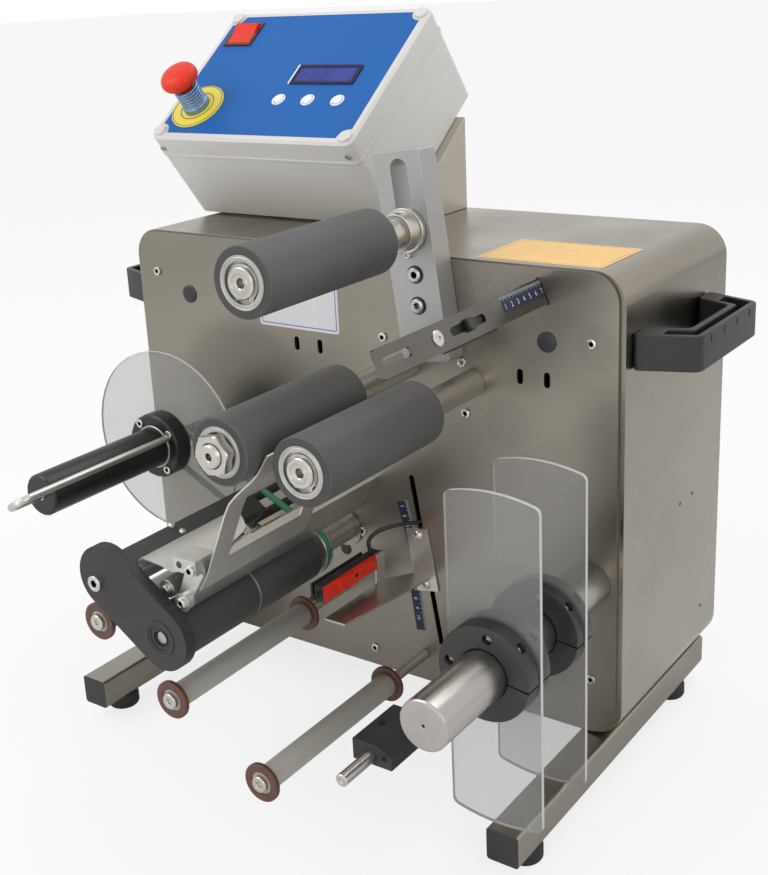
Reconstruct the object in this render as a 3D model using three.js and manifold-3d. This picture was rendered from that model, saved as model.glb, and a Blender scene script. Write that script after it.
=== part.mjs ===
// Semi-automatic roll labelling machine for round bottles, as a scene graph of named pieces.
// Millimetres, +Z up.  X runs to the operator's right, Y runs from the operator into the housing.
// The pieces are drawn with Y = 0 on the front plate's face and Z = 0 on its lower edge;
// the whole machine is then moved so that the origin is under its middle, level with the feet.
import * as THREE from 'three';
import { mergeVertices } from 'three/addons/utils/BufferGeometryUtils.js';
import Module from 'manifold-3d';

const wasm = await Module();
wasm.setup();

// ---------------------------------------------------------------- general
const fit = 0.3;             // gap between pieces that touch
const run = 0.5;             // radial clearance of a piece that turns or slides
const overrun = 5;           // how far a cut reaches past what it cuts
const discSides = 40;        // sides of a large disc
const bigSides = 20;         // sides of a roller
const midSides = 12;         // sides of a shaft
const smallSides = 8;        // sides of a pin or a screw

// ---------------------------------------------------------------- housing
const plateWidth = 542;
const plateHeight = 427;
const plateThick = 3;
const plateCorner = 25;
const coverMarginSide = 5;   // how far the cover shows round the plate
const coverMarginTop = 1.5;
const coverThick = 2;
const coverDepth = 222;
const coverLip = 8;
const backThick = 2;
const ventCount = 5;
const ventLength = 70;
const ventHeight = 5;
const ventPitch = 16;
const ventFromTop = 70;
const viewSlotWidth = 6;     // the short upright slots in the plate
const viewSlotHeight = 14;
const viewSlotX = [-67.6, -39.4, 178.8, 205];
const viewSlotZ = 329.5;

// ---------------------------------------------------------------- legs
const tubeSide = 30;
const tubeWall = 2;
const tubeCorner = 3;
const legRightIn = 20;        // the right tube's middle from the plate's edge
const legLeftIn = 45;
const legRightX = plateWidth / 2 - legRightIn;
const legLeftX = legLeftIn - plateWidth / 2;
const legFrontY = -169;
const legBackY = 222;
const capThick = 4;
const capPlug = 12;
const footRadius = 16;
const footTopRadius = 14.5;
const footHeight = 16;
const footFrontInset = 37;
const footBackInset = 51;
const footHole = 3.2;

// ---------------------------------------------------------------- handles
const handleZ = 344;
const handleHeight = 31;
const handleMidY = 97;
const handleBaseHalf = 84;
const handleOuterHalf = 65.5;
const handleInnerHalf = 44;
const handleInnerBaseHalf = 57;
const handleReach = 53;
const handleInnerReach = 34;
const handleRound = 7;
const grooveInset = 6;
const grooveDepth = 14;
const grooveStart = 20;

// ---------------------------------------------------------------- control box
const boxTilt = 37.3;        // degrees
const boxLeftX = -272.6;
const boxWidth = 256.7;
const boxLength = 191;
const boxHeight = 111;
const boxRound = 9;
const boxWall = 3.5;
const lidHeight = 30;
const boxFrontY = 99.6;
const boxRaise = 1.4;        // lowest corner of the box above the housing
const bossRadius = 8;
const rockerX = 33.5;
const rockerY = 155;
const rockerWidth = 31;
const rockerLength = 29;
const rockerRim = 3;
const rockerRimHigh = 2;
const rockerBody = 24;
const rockerAngle = 9;       // degrees from level
const windowFromRight = 78.7;
const windowX = boxWidth - windowFromRight;
const windowY = 93;
const windowWidth = 80;
const windowLength = 27;
const windowThick = 2;
const buttonFromRight = 45.2;
const buttonPitch = 36.5;
const buttonX = [2, 1, 0].map((i) => boxWidth - buttonFromRight - i * buttonPitch);
const buttonY = 57.5;
const buttonRadius = 5.5;
const buttonHigh = 2;
const buttonTravel = 1;
const buttonStem = 9;
const stopX = 39;
const stopY = 44.7;
const stopPlateRadius = 30;
const stopPlateThick = 1.6;
const stopBodyRadius = 14.5;
const stopBodyHigh = 26;
const stopHeadRadius = 20;
const stopHeadHigh = 17;
const stopTravel = 4;
const stopBlockSide = 30;
const stopBlockDeep = 26;
const boardThick = 1.6;
const boardInset = 16;
const boardHigh = 14;
const wedgeSide = 9.9;       // how far the wedge bracket stands out beside the box
const wedgeBackY = 222;
const wedgeThick = 2;

// ---------------------------------------------------------------- helpers
const rad = THREE.MathUtils.degToRad;

function weld(geometry) {
  const bare = geometry.clone();
  bare.deleteAttribute('normal');
  bare.deleteAttribute('uv');
  const merged = mergeVertices(bare, 1e-4);
  const index = merged.index.array;
  const kept = [];
  for (let i = 0; i < index.length; i += 3) {
    const [a, b, c] = [index[i], index[i + 1], index[i + 2]];
    if (a !== b && b !== c && c !== a) kept.push(a, b, c);
  }
  merged.setIndex(kept);
  merged.clearGroups();
  return merged;
}

function toSolid(geometry) {
  const merged = weld(geometry);
  const solid = new wasm.Manifold(new wasm.Mesh({
    numProp: 3,
    vertProperties: new Float32Array(merged.attributes.position.array),
    triVerts: new Uint32Array(merged.index.array),
  }));
  return solid;
}

function toGeometry(solid) {
  const mesh = solid.getMesh();
  const geometry = new THREE.BufferGeometry();
  geometry.setAttribute('position', new THREE.BufferAttribute(new Float32Array(mesh.vertProperties), 3));
  geometry.setIndex(new THREE.BufferAttribute(new Uint32Array(mesh.triVerts), 1));
  return geometry;
}

function cut(geometry, ...tools) {
  let solid = toSolid(geometry);
  for (const tool of tools) solid = solid.subtract(toSolid(tool));
  return toGeometry(solid);
}

function join(geometry, ...more) {
  let solid = toSolid(geometry);
  for (const piece of more) solid = solid.add(toSolid(piece));
  return toGeometry(solid);
}

function common(geometry, other) {
  return toGeometry(toSolid(geometry).intersect(toSolid(other)));
}

// A box between two corners.
function block(x0, x1, y0, y1, z0, z1) {
  const geometry = new THREE.BoxGeometry(x1 - x0, y1 - y0, z1 - z0);
  return geometry.translate((x0 + x1) / 2, (y0 + y1) / 2, (z0 + z1) / 2);
}

// A round bar along Y, the axis that three.js cylinders have.
function barY(radius, y0, y1, sides = midSides, x = 0, z = 0) {
  const geometry = new THREE.CylinderGeometry(radius, radius, y1 - y0, sides);
  return geometry.translate(x, (y0 + y1) / 2, z);
}

function barZ(radius, z0, z1, sides = midSides, x = 0, y = 0) {
  const geometry = new THREE.CylinderGeometry(radius, radius, z1 - z0, sides);
  return geometry.rotateX(Math.PI / 2).translate(x, y, (z0 + z1) / 2);
}

function barX(radius, x0, x1, sides = midSides, y = 0, z = 0) {
  const geometry = new THREE.CylinderGeometry(radius, radius, x1 - x0, sides);
  return geometry.rotateZ(Math.PI / 2).translate((x0 + x1) / 2, y, z);
}

// A body turned about the Y axis from [radius, y] pairs.
function turned(pairs, sides = bigSides) {
  const points = pairs.map(([r, y]) => new THREE.Vector2(r, y));
  let area = 0;
  points.forEach((p, i) => {
    const q = points[(i + 1) % points.length];
    area += p.x * q.y - q.x * p.y;
  });
  if (area < 0) points.reverse();
  const onAxis = points[0].x === 0 && points[points.length - 1].x === 0;
  if (!onAxis) points.push(points[0].clone());
  return new THREE.LatheGeometry(points, sides);
}

// A ring about Y.
function ringY(inner, outer, y0, y1, sides = bigSides) {
  return turned([[inner, y0], [outer, y0], [outer, y1], [inner, y1]], sides);
}

// An outline drawn in X and Z, given depth along Y.
function prismY(shape, y0, y1, curveSegments = 6) {
  const geometry = new THREE.ExtrudeGeometry(shape, { depth: y1 - y0, bevelEnabled: false, curveSegments });
  return geometry.rotateX(Math.PI / 2).translate(0, y1, 0);
}

// An outline drawn in Y and Z, given depth along X.
function prismX(shape, x0, x1, curveSegments = 6) {
  const geometry = new THREE.ExtrudeGeometry(shape, { depth: x1 - x0, bevelEnabled: false, curveSegments });
  const turn = new THREE.Matrix4().makeBasis(
    new THREE.Vector3(0, 1, 0), new THREE.Vector3(0, 0, 1), new THREE.Vector3(1, 0, 0));
  return geometry.applyMatrix4(turn).translate(x0, 0, 0);
}

// An outline drawn in X and Y, given height along Z.
function prismZ(shape, z0, z1, curveSegments = 6) {
  const geometry = new THREE.ExtrudeGeometry(shape, { depth: z1 - z0, bevelEnabled: false, curveSegments });
  return geometry.translate(0, 0, z0);
}

function roundRect(Outline, x0, x1, y0, y1, radius) {
  const outline = new Outline();
  outline.moveTo(x0 + radius, y0);
  outline.lineTo(x1 - radius, y0);
  outline.absarc(x1 - radius, y0 + radius, radius, -Math.PI / 2, 0);
  outline.lineTo(x1, y1 - radius);
  outline.absarc(x1 - radius, y1 - radius, radius, 0, Math.PI / 2);
  outline.lineTo(x0 + radius, y1);
  outline.absarc(x0 + radius, y1 - radius, radius, Math.PI / 2, Math.PI);
  outline.lineTo(x0, y0 + radius);
  outline.absarc(x0 + radius, y0 + radius, radius, Math.PI, Math.PI * 1.5);
  return outline;
}

// A many-sided circle; as a hole its flats lie on the circle, as a disc its corners do.
function circle(Outline, x, y, radius, sides = midSides) {
  const reach = Outline === THREE.Path ? radius / Math.cos(Math.PI / sides) : radius;
  return new Outline(Array.from({ length: sides }, (_, i) => new THREE.Vector2(
    x + reach * Math.cos(i * Math.PI * 2 / sides), y + reach * Math.sin(i * Math.PI * 2 / sides))));
}

// A slot with round ends between two centres.
function slot(Outline, x0, y0, x1, y1, halfWidth) {
  const outline = new Outline();
  const angle = Math.atan2(y1 - y0, x1 - x0);
  outline.absarc(x1, y1, halfWidth, angle - Math.PI / 2, angle + Math.PI / 2);
  outline.absarc(x0, y0, halfWidth, angle + Math.PI / 2, angle + Math.PI * 1.5);
  outline.closePath();
  return outline;
}

// A polygon with its corners rounded off.
function softPolygon(Outline, points, radius) {
  const outline = new Outline();
  const count = points.length;
  points.forEach((point, i) => {
    const here = new THREE.Vector2(...point);
    const before = new THREE.Vector2(...points[(i + count - 1) % count]);
    const after = new THREE.Vector2(...points[(i + 1) % count]);
    const reach = Math.min(radius, here.distanceTo(before) / 3, here.distanceTo(after) / 3);
    const start = here.clone().add(before.sub(here).setLength(reach));
    const end = here.clone().add(after.sub(here).setLength(reach));
    if (i === 0) outline.moveTo(start.x, start.y);
    else outline.lineTo(start.x, start.y);
    outline.quadraticCurveTo(here.x, here.y, end.x, end.y);
  });
  outline.closePath();
  return outline;
}

// The points of a polygon moved inwards (counter-clockwise order) by a distance.
function insetPolygon(points, distance) {
  const count = points.length;
  return points.map((point, i) => {
    const here = new THREE.Vector2(...point);
    const before = new THREE.Vector2(...points[(i + count - 1) % count]);
    const after = new THREE.Vector2(...points[(i + 1) % count]);
    const d0 = here.clone().sub(before).normalize();
    const d1 = after.clone().sub(here).normalize();
    const n0 = new THREE.Vector2(-d0.y, d0.x);
    const n1 = new THREE.Vector2(-d1.y, d1.x);
    const middle = n0.clone().add(n1).normalize();
    const moved = here.addScaledVector(middle, distance / middle.dot(n0));
    return [moved.x, moved.y];
  });
}

// A sheet of even thickness that follows a line of points; the sheet lies to the line's left.
function sheetOutline(points, thick) {
  const line = points.map((p) => new THREE.Vector2(...p));
  const far = line.map((here, i) => {
    const d0 = (i > 0 ? here.clone().sub(line[i - 1]) : line[1].clone().sub(here)).normalize();
    const last = i === line.length - 1;
    const d1 = (last ? here.clone().sub(line[i - 1]) : line[i + 1].clone().sub(here)).normalize();
    const n0 = new THREE.Vector2(-d0.y, d0.x);
    const n1 = new THREE.Vector2(-d1.y, d1.x);
    const middle = n0.clone().add(n1).normalize();
    return here.clone().addScaledVector(middle, thick / middle.dot(n0));
  });
  return new THREE.Shape([...line, ...far.reverse()]);
}

const colours = {
  steel: [0x8d887f, 0.38, 0.85],
  bright: [0xc9c7c2, 0.28, 0.9],
  aluminium: [0xc4c6c7, 0.36, 0.8],
  rubber: [0x4b4b4d, 0.85, 0],
  black: [0x303134, 0.6, 0.05],
  boxGrey: [0xd4d6d6, 0.55, 0],
  film: [0x1f66b0, 0.45, 0],
  screen: [0x1c2a66, 0.2, 0],
  red: [0xc8261c, 0.42, 0],
  yellow: [0xe6d23a, 0.55, 0],
  white: [0xe9e9e6, 0.5, 0],
  green: [0x1f7a5b, 0.5, 0],
  tubeGrey: [0x9a978e, 0.5, 0.1],
  ringBrown: [0x6b4a3f, 0.7, 0],
  acrylic: [0xdfe8e8, 0.08, 0],
};

function paint(kind) {
  const [color, roughness, metalness] = colours[kind];
  const clear = kind === 'acrylic';
  return new THREE.MeshStandardMaterial({
    color, roughness, metalness, flatShading: true, transparent: clear, opacity: clear ? 0.35 : 1,
  });
}

function node(parent, name, geometry, kind, place = [0, 0, 0]) {
  const mesh = new THREE.Mesh(weld(geometry), paint(kind));
  mesh.name = name;
  mesh.position.set(...place);
  parent.add(mesh);
  return mesh;
}

function groupAt(parent, x, y, z) {
  const group = new THREE.Group();
  group.position.set(x, y, z);
  parent.add(group);
  return group;
}

const machine = new THREE.Group();

// ---------------------------------------------------------------- roller axes (x, z)
const pressX = 84.3;
const pressZ = 455.6;
const cradleLeftX = 60.9;
const cradleLeftZ = 324.3;
const cradleRightX = 131.1;
const cradleRightZ = 316.8;
const rewindX = -189;
const rewindZ = 230;
const pullX = -19;
const pullZ = 146;
const unwindIn = 26.4;       // from the plate's right edge
const unwindZ = 148.3;
const guideAX = -109.3;
const guideAZ = 131.9;
const guideBX = -28;
const guideBZ = 77.5;
const guideCX = 68.1;
const guideCZ = 28.4;
const blockRodIn = 92.2;     // from the unwinder's axis
const blockRodZ = 59.8;
const press = { x: pressX, z: pressZ };
const cradleLeft = { x: cradleLeftX, z: cradleLeftZ };
const cradleRight = { x: cradleRightX, z: cradleRightZ };
const rewind = { x: rewindX, z: rewindZ };
const pull = { x: pullX, z: pullZ };
const unwind = { x: plateWidth / 2 - unwindIn, z: unwindZ };
const guides = [
  { name: 'a', x: guideAX, z: guideAZ },
  { name: 'b', x: guideBX, z: guideBZ },
  { name: 'c', x: guideCX, z: guideCZ },
];
const blockRod = { x: unwind.x - blockRodIn, z: blockRodZ };

// ---------------------------------------------------------------- the sensor's adjustment slot
const slotTilt = 9.3;        // degrees from upright, top leaning left
const slotHalf = 2.8;
const sensorSlotX = 74.3;
const sensorSlotZ = 129.8;
const sensorSlotHalf = 84.4;
const sensorSlot = { x: sensorSlotX, z: sensorSlotZ, half: sensorSlotHalf };
const lean = new THREE.Vector2(-Math.sin(rad(slotTilt)), Math.cos(rad(slotTilt)));

function slotEnds({ x, z, half }) {
  return [x - lean.x * half, z - lean.y * half, x + lean.x * half, z + lean.y * half];
}

// ---------------------------------------------------------------- stop bar's passage
const barTilt = 26;          // degrees the strip leans from upright
const barTopIn = 74.7;        // from the plate's right edge
const barTopX = plateWidth / 2 - barTopIn;
const barTopZ = 417.7;
const barTall = 23;
const barThick = 2.5;
const barDown = new THREE.Vector2(Math.sin(rad(barTilt)), -Math.cos(rad(barTilt)));
const barMiddle = new THREE.Vector2(barTopX, barTopZ).addScaledVector(barDown, barTall / 2);
const barRodRadius = 6;
const barBlockThick = 17;
const barRodDrop = 3;        // how far the bar's rod lies below the strip's middle
const barRodAway = barThick / 2 + fit + barBlockThick / 2;
const barRod = {
  x: barMiddle.x + barDown.y * barRodAway + barDown.x * barRodDrop,
  z: barMiddle.y - barDown.x * barRodAway + barDown.y * barRodDrop,
};

// ---------------------------------------------------------------- shafts where they meet the plate
const spigotRadius = 8;      // rigid shafts end in a spigot that the plate takes
const rodSpigot = 3.5;
const bearingRadius = 15;    // flanged bearings of the turning shafts
const bearingFlange = 19;
const bearingFlangeThick = 3;
const bearingDeep = 12;

// ================================================================ housing
const plateShape = roundRect(THREE.Shape, -plateWidth / 2, plateWidth / 2, 0, plateHeight, plateCorner);
for (const x of viewSlotX) {
  const reach = viewSlotHeight / 2 - viewSlotWidth / 2;
  plateShape.holes.push(slot(THREE.Path, x, viewSlotZ - reach, x, viewSlotZ + reach, viewSlotWidth / 2));
}
plateShape.holes.push(slot(THREE.Path, ...slotEnds(sensorSlot), slotHalf));
for (const axis of [cradleLeft, cradleRight, unwind]) {
  plateShape.holes.push(circle(THREE.Path, axis.x, axis.z, spigotRadius + fit));
}
for (const axis of [...guides, blockRod, barRod]) {
  plateShape.holes.push(circle(THREE.Path, axis.x, axis.z, rodSpigot + fit));
}
const spindleRadius = 7;
for (const axis of [rewind, pull]) {
  plateShape.holes.push(circle(THREE.Path, axis.x, axis.z, spindleRadius + run));
}
const barPassHalf = barTall / 2 + run - barThick / 2;
plateShape.holes.push(slot(
  THREE.Path,
  barMiddle.x - barDown.x * barPassHalf, barMiddle.y - barDown.y * barPassHalf,
  barMiddle.x + barDown.x * barPassHalf, barMiddle.y + barDown.y * barPassHalf,
  barThick / 2 + run,
));
// The flanged bearings of the two turning shafts are pressed into the plate and count as part of it.
function flangedBearing({ x, z }) {
  return turned([[spindleRadius + run, -fit - bearingFlangeThick], [bearingFlange, -fit - bearingFlangeThick],
    [bearingFlange, fit], [bearingRadius, fit], [bearingRadius, plateThick + bearingDeep],
    [spindleRadius + run, plateThick + bearingDeep]], midSides).translate(x, 0, z);
}
node(machine, 'front_plate', join(
  prismY(plateShape, 0, plateThick, 4), flangedBearing(rewind), flangedBearing(pull)), 'steel');

const coverHalf = plateWidth / 2 + coverMarginSide;
const coverBottom = -coverMarginTop;
const coverTop = plateHeight + coverMarginTop;
const coverCorner = plateCorner + coverMarginTop + coverThick;
const coverFront = plateThick + fit;
const coverBack = coverFront + coverDepth;
const coverOuter = prismY(
  roundRect(THREE.Shape, -coverHalf, coverHalf, coverBottom, coverTop, coverCorner), coverFront, coverBack);
const coverInner = prismY(
  roundRect(THREE.Shape, coverThick - coverHalf, coverHalf - coverThick, coverBottom + coverThick,
    coverTop - coverThick, coverCorner - coverThick),
  coverFront + coverThick, coverBack + overrun);
const coverMouth = prismY(
  roundRect(THREE.Shape, coverLip - coverHalf, coverHalf - coverLip, coverBottom + coverLip,
    coverTop - coverLip, coverCorner / 2),
  coverFront - overrun, coverFront + coverThick + fit);
node(machine, 'housing_cover', cut(coverOuter, coverInner, coverMouth), 'steel');

// The back panel closes the cover, with two fields of louvre slots and the power inlet's cut-out.
const inletX = 190;
const inletZ = 60;
const inletWidth = 48;
const inletHeight = 28;
const inletFlange = 5;
const inletFlangeThick = 2.5;
const inletDeep = 24;
const inletWall = 2;
const inletPin = 2.2;
const inletPinLong = 12;
const panelEdge = coverThick + fit;
const panelShape = roundRect(
  THREE.Shape, panelEdge - coverHalf, coverHalf - panelEdge, coverBottom + panelEdge, coverTop - panelEdge,
  coverCorner - panelEdge);
const ventTop = plateHeight - ventFromTop;
for (const side of [-1, 1]) {
  for (let i = 0; i < ventCount; i += 1) {
    const z = ventTop - i * ventPitch;
    const middle = side * plateWidth / 4;
    const reach = ventLength / 2 - ventHeight / 2;
    panelShape.holes.push(slot(THREE.Path, middle - reach, z, middle + reach, z, ventHeight / 2));
  }
}
const inletBody = join(
  prismY(roundRect(THREE.Shape, -inletWidth / 2, inletWidth / 2, -inletHeight / 2, inletHeight / 2, inletFlange),
    coverBack - inletDeep, coverBack + inletFlangeThick / 2, 3),
  prismY(roundRect(THREE.Shape, -inletWidth / 2 - inletFlange, inletWidth / 2 + inletFlange,
    -inletHeight / 2 - inletFlange, inletHeight / 2 + inletFlange, inletFlange),
  coverBack - backThick / 2, coverBack + inletFlangeThick, 3));
const inletWell = prismY(
  roundRect(THREE.Shape, inletWall - inletWidth / 2, inletWidth / 2 - inletWall, inletWall - inletHeight / 2,
    inletHeight / 2 - inletWall, inletFlange - inletWall),
  coverBack - inletDeep + inletWall, coverBack + overrun, 3);
const inletPins = [-1, 0, 1].map((i) => block(
  i * inletWidth / 4 - inletPin / 2, i * inletWidth / 4 + inletPin / 2, coverBack - inletDeep,
  coverBack - inletDeep + inletWall + inletPinLong, -inletPin, inletPin));
const toInlet = (geometry) => geometry.translate(inletX, 0, inletZ);
node(machine, 'back_panel', join(
  cut(join(prismY(panelShape, coverBack - backThick, coverBack, 2), toInlet(inletBody)), toInlet(inletWell)),
  ...inletPins.map(toInlet)), 'steel');

// ================================================================ legs
const tubeTop = coverBottom - fit;
const tubeMiddle = tubeTop - tubeSide / 2;
for (const [name, x] of [['left', legLeftX], ['right', legRightX]]) {
  const leg = groupAt(machine, x, 0, tubeMiddle);
  const half = tubeSide / 2;
  const section = roundRect(THREE.Shape, -half, half, -half, half, tubeCorner);
  const bore = half - tubeWall;
  section.holes.push(roundRect(THREE.Path, -bore, bore, -bore, bore, tubeCorner - tubeWall));
  // Plastic caps close both ends of the tube; they are one piece with it here.
  let legBody = prismY(section, legFrontY + capThick / 2, legBackY - capThick / 2, 3);
  for (const [end, y, way] of [['front', legFrontY, 1], ['back', legBackY, -1]]) {
    const face = prismY(roundRect(THREE.Shape, -half, half, -half, half, tubeCorner), 0, capThick, 3);
    const inside = bore + fit;
    const tongue = prismY(roundRect(THREE.Shape, -inside, inside, -inside, inside, tubeCorner - tubeWall),
      capThick / 2, capThick + capPlug, 2);
    const cap = join(face, tongue);
    if (way < 0) cap.rotateZ(Math.PI);
    legBody = join(legBody, cap.translate(0, y, 0));
    const footY = way > 0 ? y + footFrontInset : y - footBackInset;
    const foot = turned([[0, 0], [footRadius, 0], [footRadius, footHeight / 4], [footTopRadius, footHeight],
      [0, footHeight]], midSides).rotateX(Math.PI / 2);
    node(leg, `foot_${name}_${end}`, foot, 'rubber', [0, footY, -half - fit - footHeight]);
    legBody = cut(legBody, barZ(footHole, -half - overrun, 0, smallSides, 0, footY));
  }
  node(leg, `leg_tube_${name}`, legBody, 'steel');
}

// ================================================================ handles
const handlePoints = [
  [0, -handleBaseHalf], [handleReach, -handleOuterHalf], [handleReach, handleOuterHalf], [0, handleBaseHalf],
  [0, handleInnerBaseHalf], [handleInnerReach, handleInnerHalf], [handleInnerReach, -handleInnerHalf],
  [0, -handleInnerBaseHalf],
];
for (const [name, side] of [['left', -1], ['right', 1]]) {
  const hold = groupAt(machine, side * (coverHalf + fit), handleMidY, handleZ);
  const ring = prismZ(softPolygon(THREE.Shape, handlePoints, handleRound), 0, handleHeight, 4);
  const groovePlan = insetPolygon(handlePoints, grooveInset);
  const groove = cut(
    prismZ(new THREE.Shape(groovePlan.map((p) => new THREE.Vector2(...p))), handleHeight - grooveDepth,
      handleHeight + overrun),
    block(-overrun, grooveStart, -handleBaseHalf, handleBaseHalf, 0, handleHeight + overrun * 2));
  const grip = cut(ring, groove);
  if (side < 0) grip.rotateZ(Math.PI);
  node(hold, `handle_${name}`, grip, 'black');
}

// ================================================================ control box
const console_ = groupAt(machine, boxLeftX, boxFrontY, coverTop + boxRaise);
console_.rotation.x = rad(boxTilt);
const lidBottom = boxHeight - lidHeight;
const boxPlan = () => roundRect(THREE.Shape, 0, boxWidth, 0, boxLength, boxRound);
const boxBore = () => roundRect(
  THREE.Shape, boxWall, boxWidth - boxWall, boxWall, boxLength - boxWall, boxRound - boxWall);
const baseBody = cut(
  prismZ(boxPlan(), 0, lidBottom - fit, 3),
  prismZ(boxBore(), boxWall, lidBottom + overrun, 3));
node(console_, 'control_box_base', baseBody, 'boxGrey');

const lidTopUnder = boxHeight - boxWall;
const lidTop = boxPlan();
const windowRim = 5;
lidTop.holes.push(roundRect(
  THREE.Path, windowX - windowWidth / 2 + windowRim, windowX + windowWidth / 2 - windowRim,
  windowY - windowLength / 2 + windowRim, windowY + windowLength / 2 - windowRim, fit));
for (const x of buttonX) lidTop.holes.push(circle(THREE.Path, x, buttonY, buttonRadius + run));
const stopNeck = 11;
lidTop.holes.push(circle(THREE.Path, stopX, stopY, stopNeck + fit));
// The lid's rim is a hollow frame; its top takes the controls, with a soft outer edge.
const lidEdge = 2.5;
const lidSoft = new THREE.ExtrudeGeometry(
  roundRect(THREE.Shape, lidEdge, boxWidth - lidEdge, lidEdge, boxLength - lidEdge, boxRound - lidEdge),
  { depth: lidHeight - lidEdge * 2, bevelSize: lidEdge, bevelThickness: lidEdge, bevelSegments: 1, curveSegments: 3 },
).translate(0, 0, lidBottom + lidEdge);
const lidOuter = join(lidSoft, prismZ(boxPlan(), lidBottom, boxHeight - lidEdge, 3));
const lidHoles = lidTop.holes.map((hole) => prismZ(
  new THREE.Shape(hole.getPoints(5)), lidTopUnder - overrun, boxHeight + overrun, 5));
const lidBody = cut(lidOuter, prismZ(boxBore(), lidBottom - overrun, lidTopUnder, 3), ...lidHoles);

// Rocker switch: a frame through the lid and a rocker on its cross axis.
const rocker = groupAt(console_, rockerX, rockerY, boxHeight);
const frameHalfX = rockerWidth / 2;
const frameHalfY = rockerLength / 2;
const frameSkin = boxWall / 2;
const toRocker = (geometry) => geometry.translate(rockerX, rockerY, boxHeight);
node(console_, 'control_box_lid', cut(
  join(
    lidBody,
    toRocker(block(-frameHalfX - rockerRim, frameHalfX + rockerRim, -frameHalfY - rockerRim,
      frameHalfY + rockerRim, -boxWall / 2, rockerRimHigh)),
    toRocker(block(-frameHalfX - frameSkin, frameHalfX + frameSkin, -frameHalfY - frameSkin,
      frameHalfY + frameSkin, -rockerBody, rockerRimHigh / 2))),
  toRocker(block(-frameHalfX, frameHalfX, -frameHalfY, frameHalfY, frameSkin - rockerBody,
    rockerRimHigh + overrun))), 'boxGrey');
const rockerAxisDeep = 2;
const rockerHalfLong = frameHalfY - run * 2.6;
const rockerEndHigh = 6;
const rockerDip = 1.6;
const rockerBelow = 7;
const rockerFoot = 5;
const rockerShape = new THREE.Shape([
  new THREE.Vector2(-rockerHalfLong, 0), new THREE.Vector2(-rockerFoot, -rockerBelow),
  new THREE.Vector2(rockerFoot, -rockerBelow), new THREE.Vector2(rockerHalfLong, 0),
  new THREE.Vector2(rockerHalfLong, rockerEndHigh), new THREE.Vector2(0, rockerEndHigh - rockerDip),
  new THREE.Vector2(-rockerHalfLong, rockerEndHigh),
]);
const rockerKey = node(rocker, 'rocker_switch', prismX(rockerShape, run - frameHalfX, frameHalfX - run), 'red',
  [0, 0, -rockerAxisDeep]);
rockerKey.rotation.x = rad(rockerAngle);

// Display: a framed window over its module, set in the lid.
const windowBody = join(
  prismZ(roundRect(THREE.Shape, -windowWidth / 2, windowWidth / 2, -windowLength / 2, windowLength / 2,
    windowThick), fit, fit + windowThick, 3),
  block(windowRim + fit - windowWidth / 2, windowWidth / 2 - windowRim - fit,
    windowRim + fit - windowLength / 2, windowLength / 2 - windowRim - fit, -boxWall * 2, fit + windowThick / 2));
node(console_, 'display_window', windowBody, 'screen', [windowX, windowY, boxHeight]);

// Three push buttons, each held under the lid by its collar.
buttonX.forEach((x, i) => {
  const collar = buttonRadius + run * 4;
  const button = turned([
    [0, -boxWall - buttonStem], [buttonRadius / 2, -boxWall - buttonStem], [buttonRadius / 2, -boxWall * 2],
    [collar, -boxWall * 2], [collar, -boxWall - fit], [buttonRadius, -boxWall - fit],
    [buttonRadius, buttonHigh - run], [buttonRadius - run, buttonHigh], [0, buttonHigh]], 16).rotateX(Math.PI / 2);
  node(console_, `push_button_${i + 1}`, button, 'white', [x, buttonY, boxHeight]);
});

// Emergency stop: yellow plate, bushing with its contact block under the lid, mushroom head.
const stop = groupAt(console_, stopX, stopY, boxHeight);
const stopPlate = turned([[0, fit], [stopPlateRadius, fit], [stopPlateRadius, fit + stopPlateThick],
  [0, fit + stopPlateThick]]).rotateX(Math.PI / 2);
const stopStem = 6;
const stopSeat = stopPlateThick;
const stopBodyTop = stopSeat + stopBodyHigh;
const stopBushing = join(
  stopPlate,
  turned([[0, -stopBlockDeep / 2], [stopNeck, -stopBlockDeep / 2], [stopNeck, stopSeat], [stopBodyRadius, stopSeat],
    [stopBodyRadius, stopSeat + stopBodyHigh / 4], [stopBodyRadius - fit * 4, stopSeat + stopBodyHigh / 3],
    [stopBodyRadius - fit * 4, stopBodyTop], [0, stopBodyTop]], midSides).rotateX(Math.PI / 2),
  block(-stopBlockSide / 2, stopBlockSide / 2, -stopBlockSide / 2, stopBlockSide / 2,
    -boxWall - fit - stopBlockDeep, -boxWall - fit));
const stopBore = barZ(stopStem + run, stopSeat, stopBodyTop + overrun, midSides);
node(stop, 'estop_bushing', cut(stopBushing, stopBore), 'bright');
const headGap = stopTravel + fit;
const stopHead = turned([
  [0, stopSeat + headGap + fit], [stopStem, stopSeat + headGap + fit], [stopStem, stopBodyTop + headGap],
  [stopHeadRadius * 0.72, stopBodyTop + headGap], [stopHeadRadius, stopBodyTop + headGap + stopHeadHigh * 0.28],
  [stopHeadRadius, stopBodyTop + headGap + stopHeadHigh * 0.5],
  [stopHeadRadius * 0.9, stopBodyTop + headGap + stopHeadHigh * 0.82],
  [stopHeadRadius * 0.6, stopBodyTop + headGap + stopHeadHigh],
  [0, stopBodyTop + headGap + stopHeadHigh]]).rotateX(Math.PI / 2);
node(stop, 'estop_head', stopHead, 'red');

// Controller board on four pillars inside the box.
const pillars = [boardInset * 2, boxWidth - boardInset * 2].flatMap((x) => (
  [boardInset * 2, boxLength - boardInset * 2].map((y) => barZ(
    boardThick * 3, boxWall + fit, boardHigh + boardThick / 2, smallSides, x, y))));
node(console_, 'controller_board', join(
  block(boardInset, boxWidth - boardInset, boardInset, boxLength - boardInset, boardHigh, boardHigh + boardThick),
  ...pillars), 'green');

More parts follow.
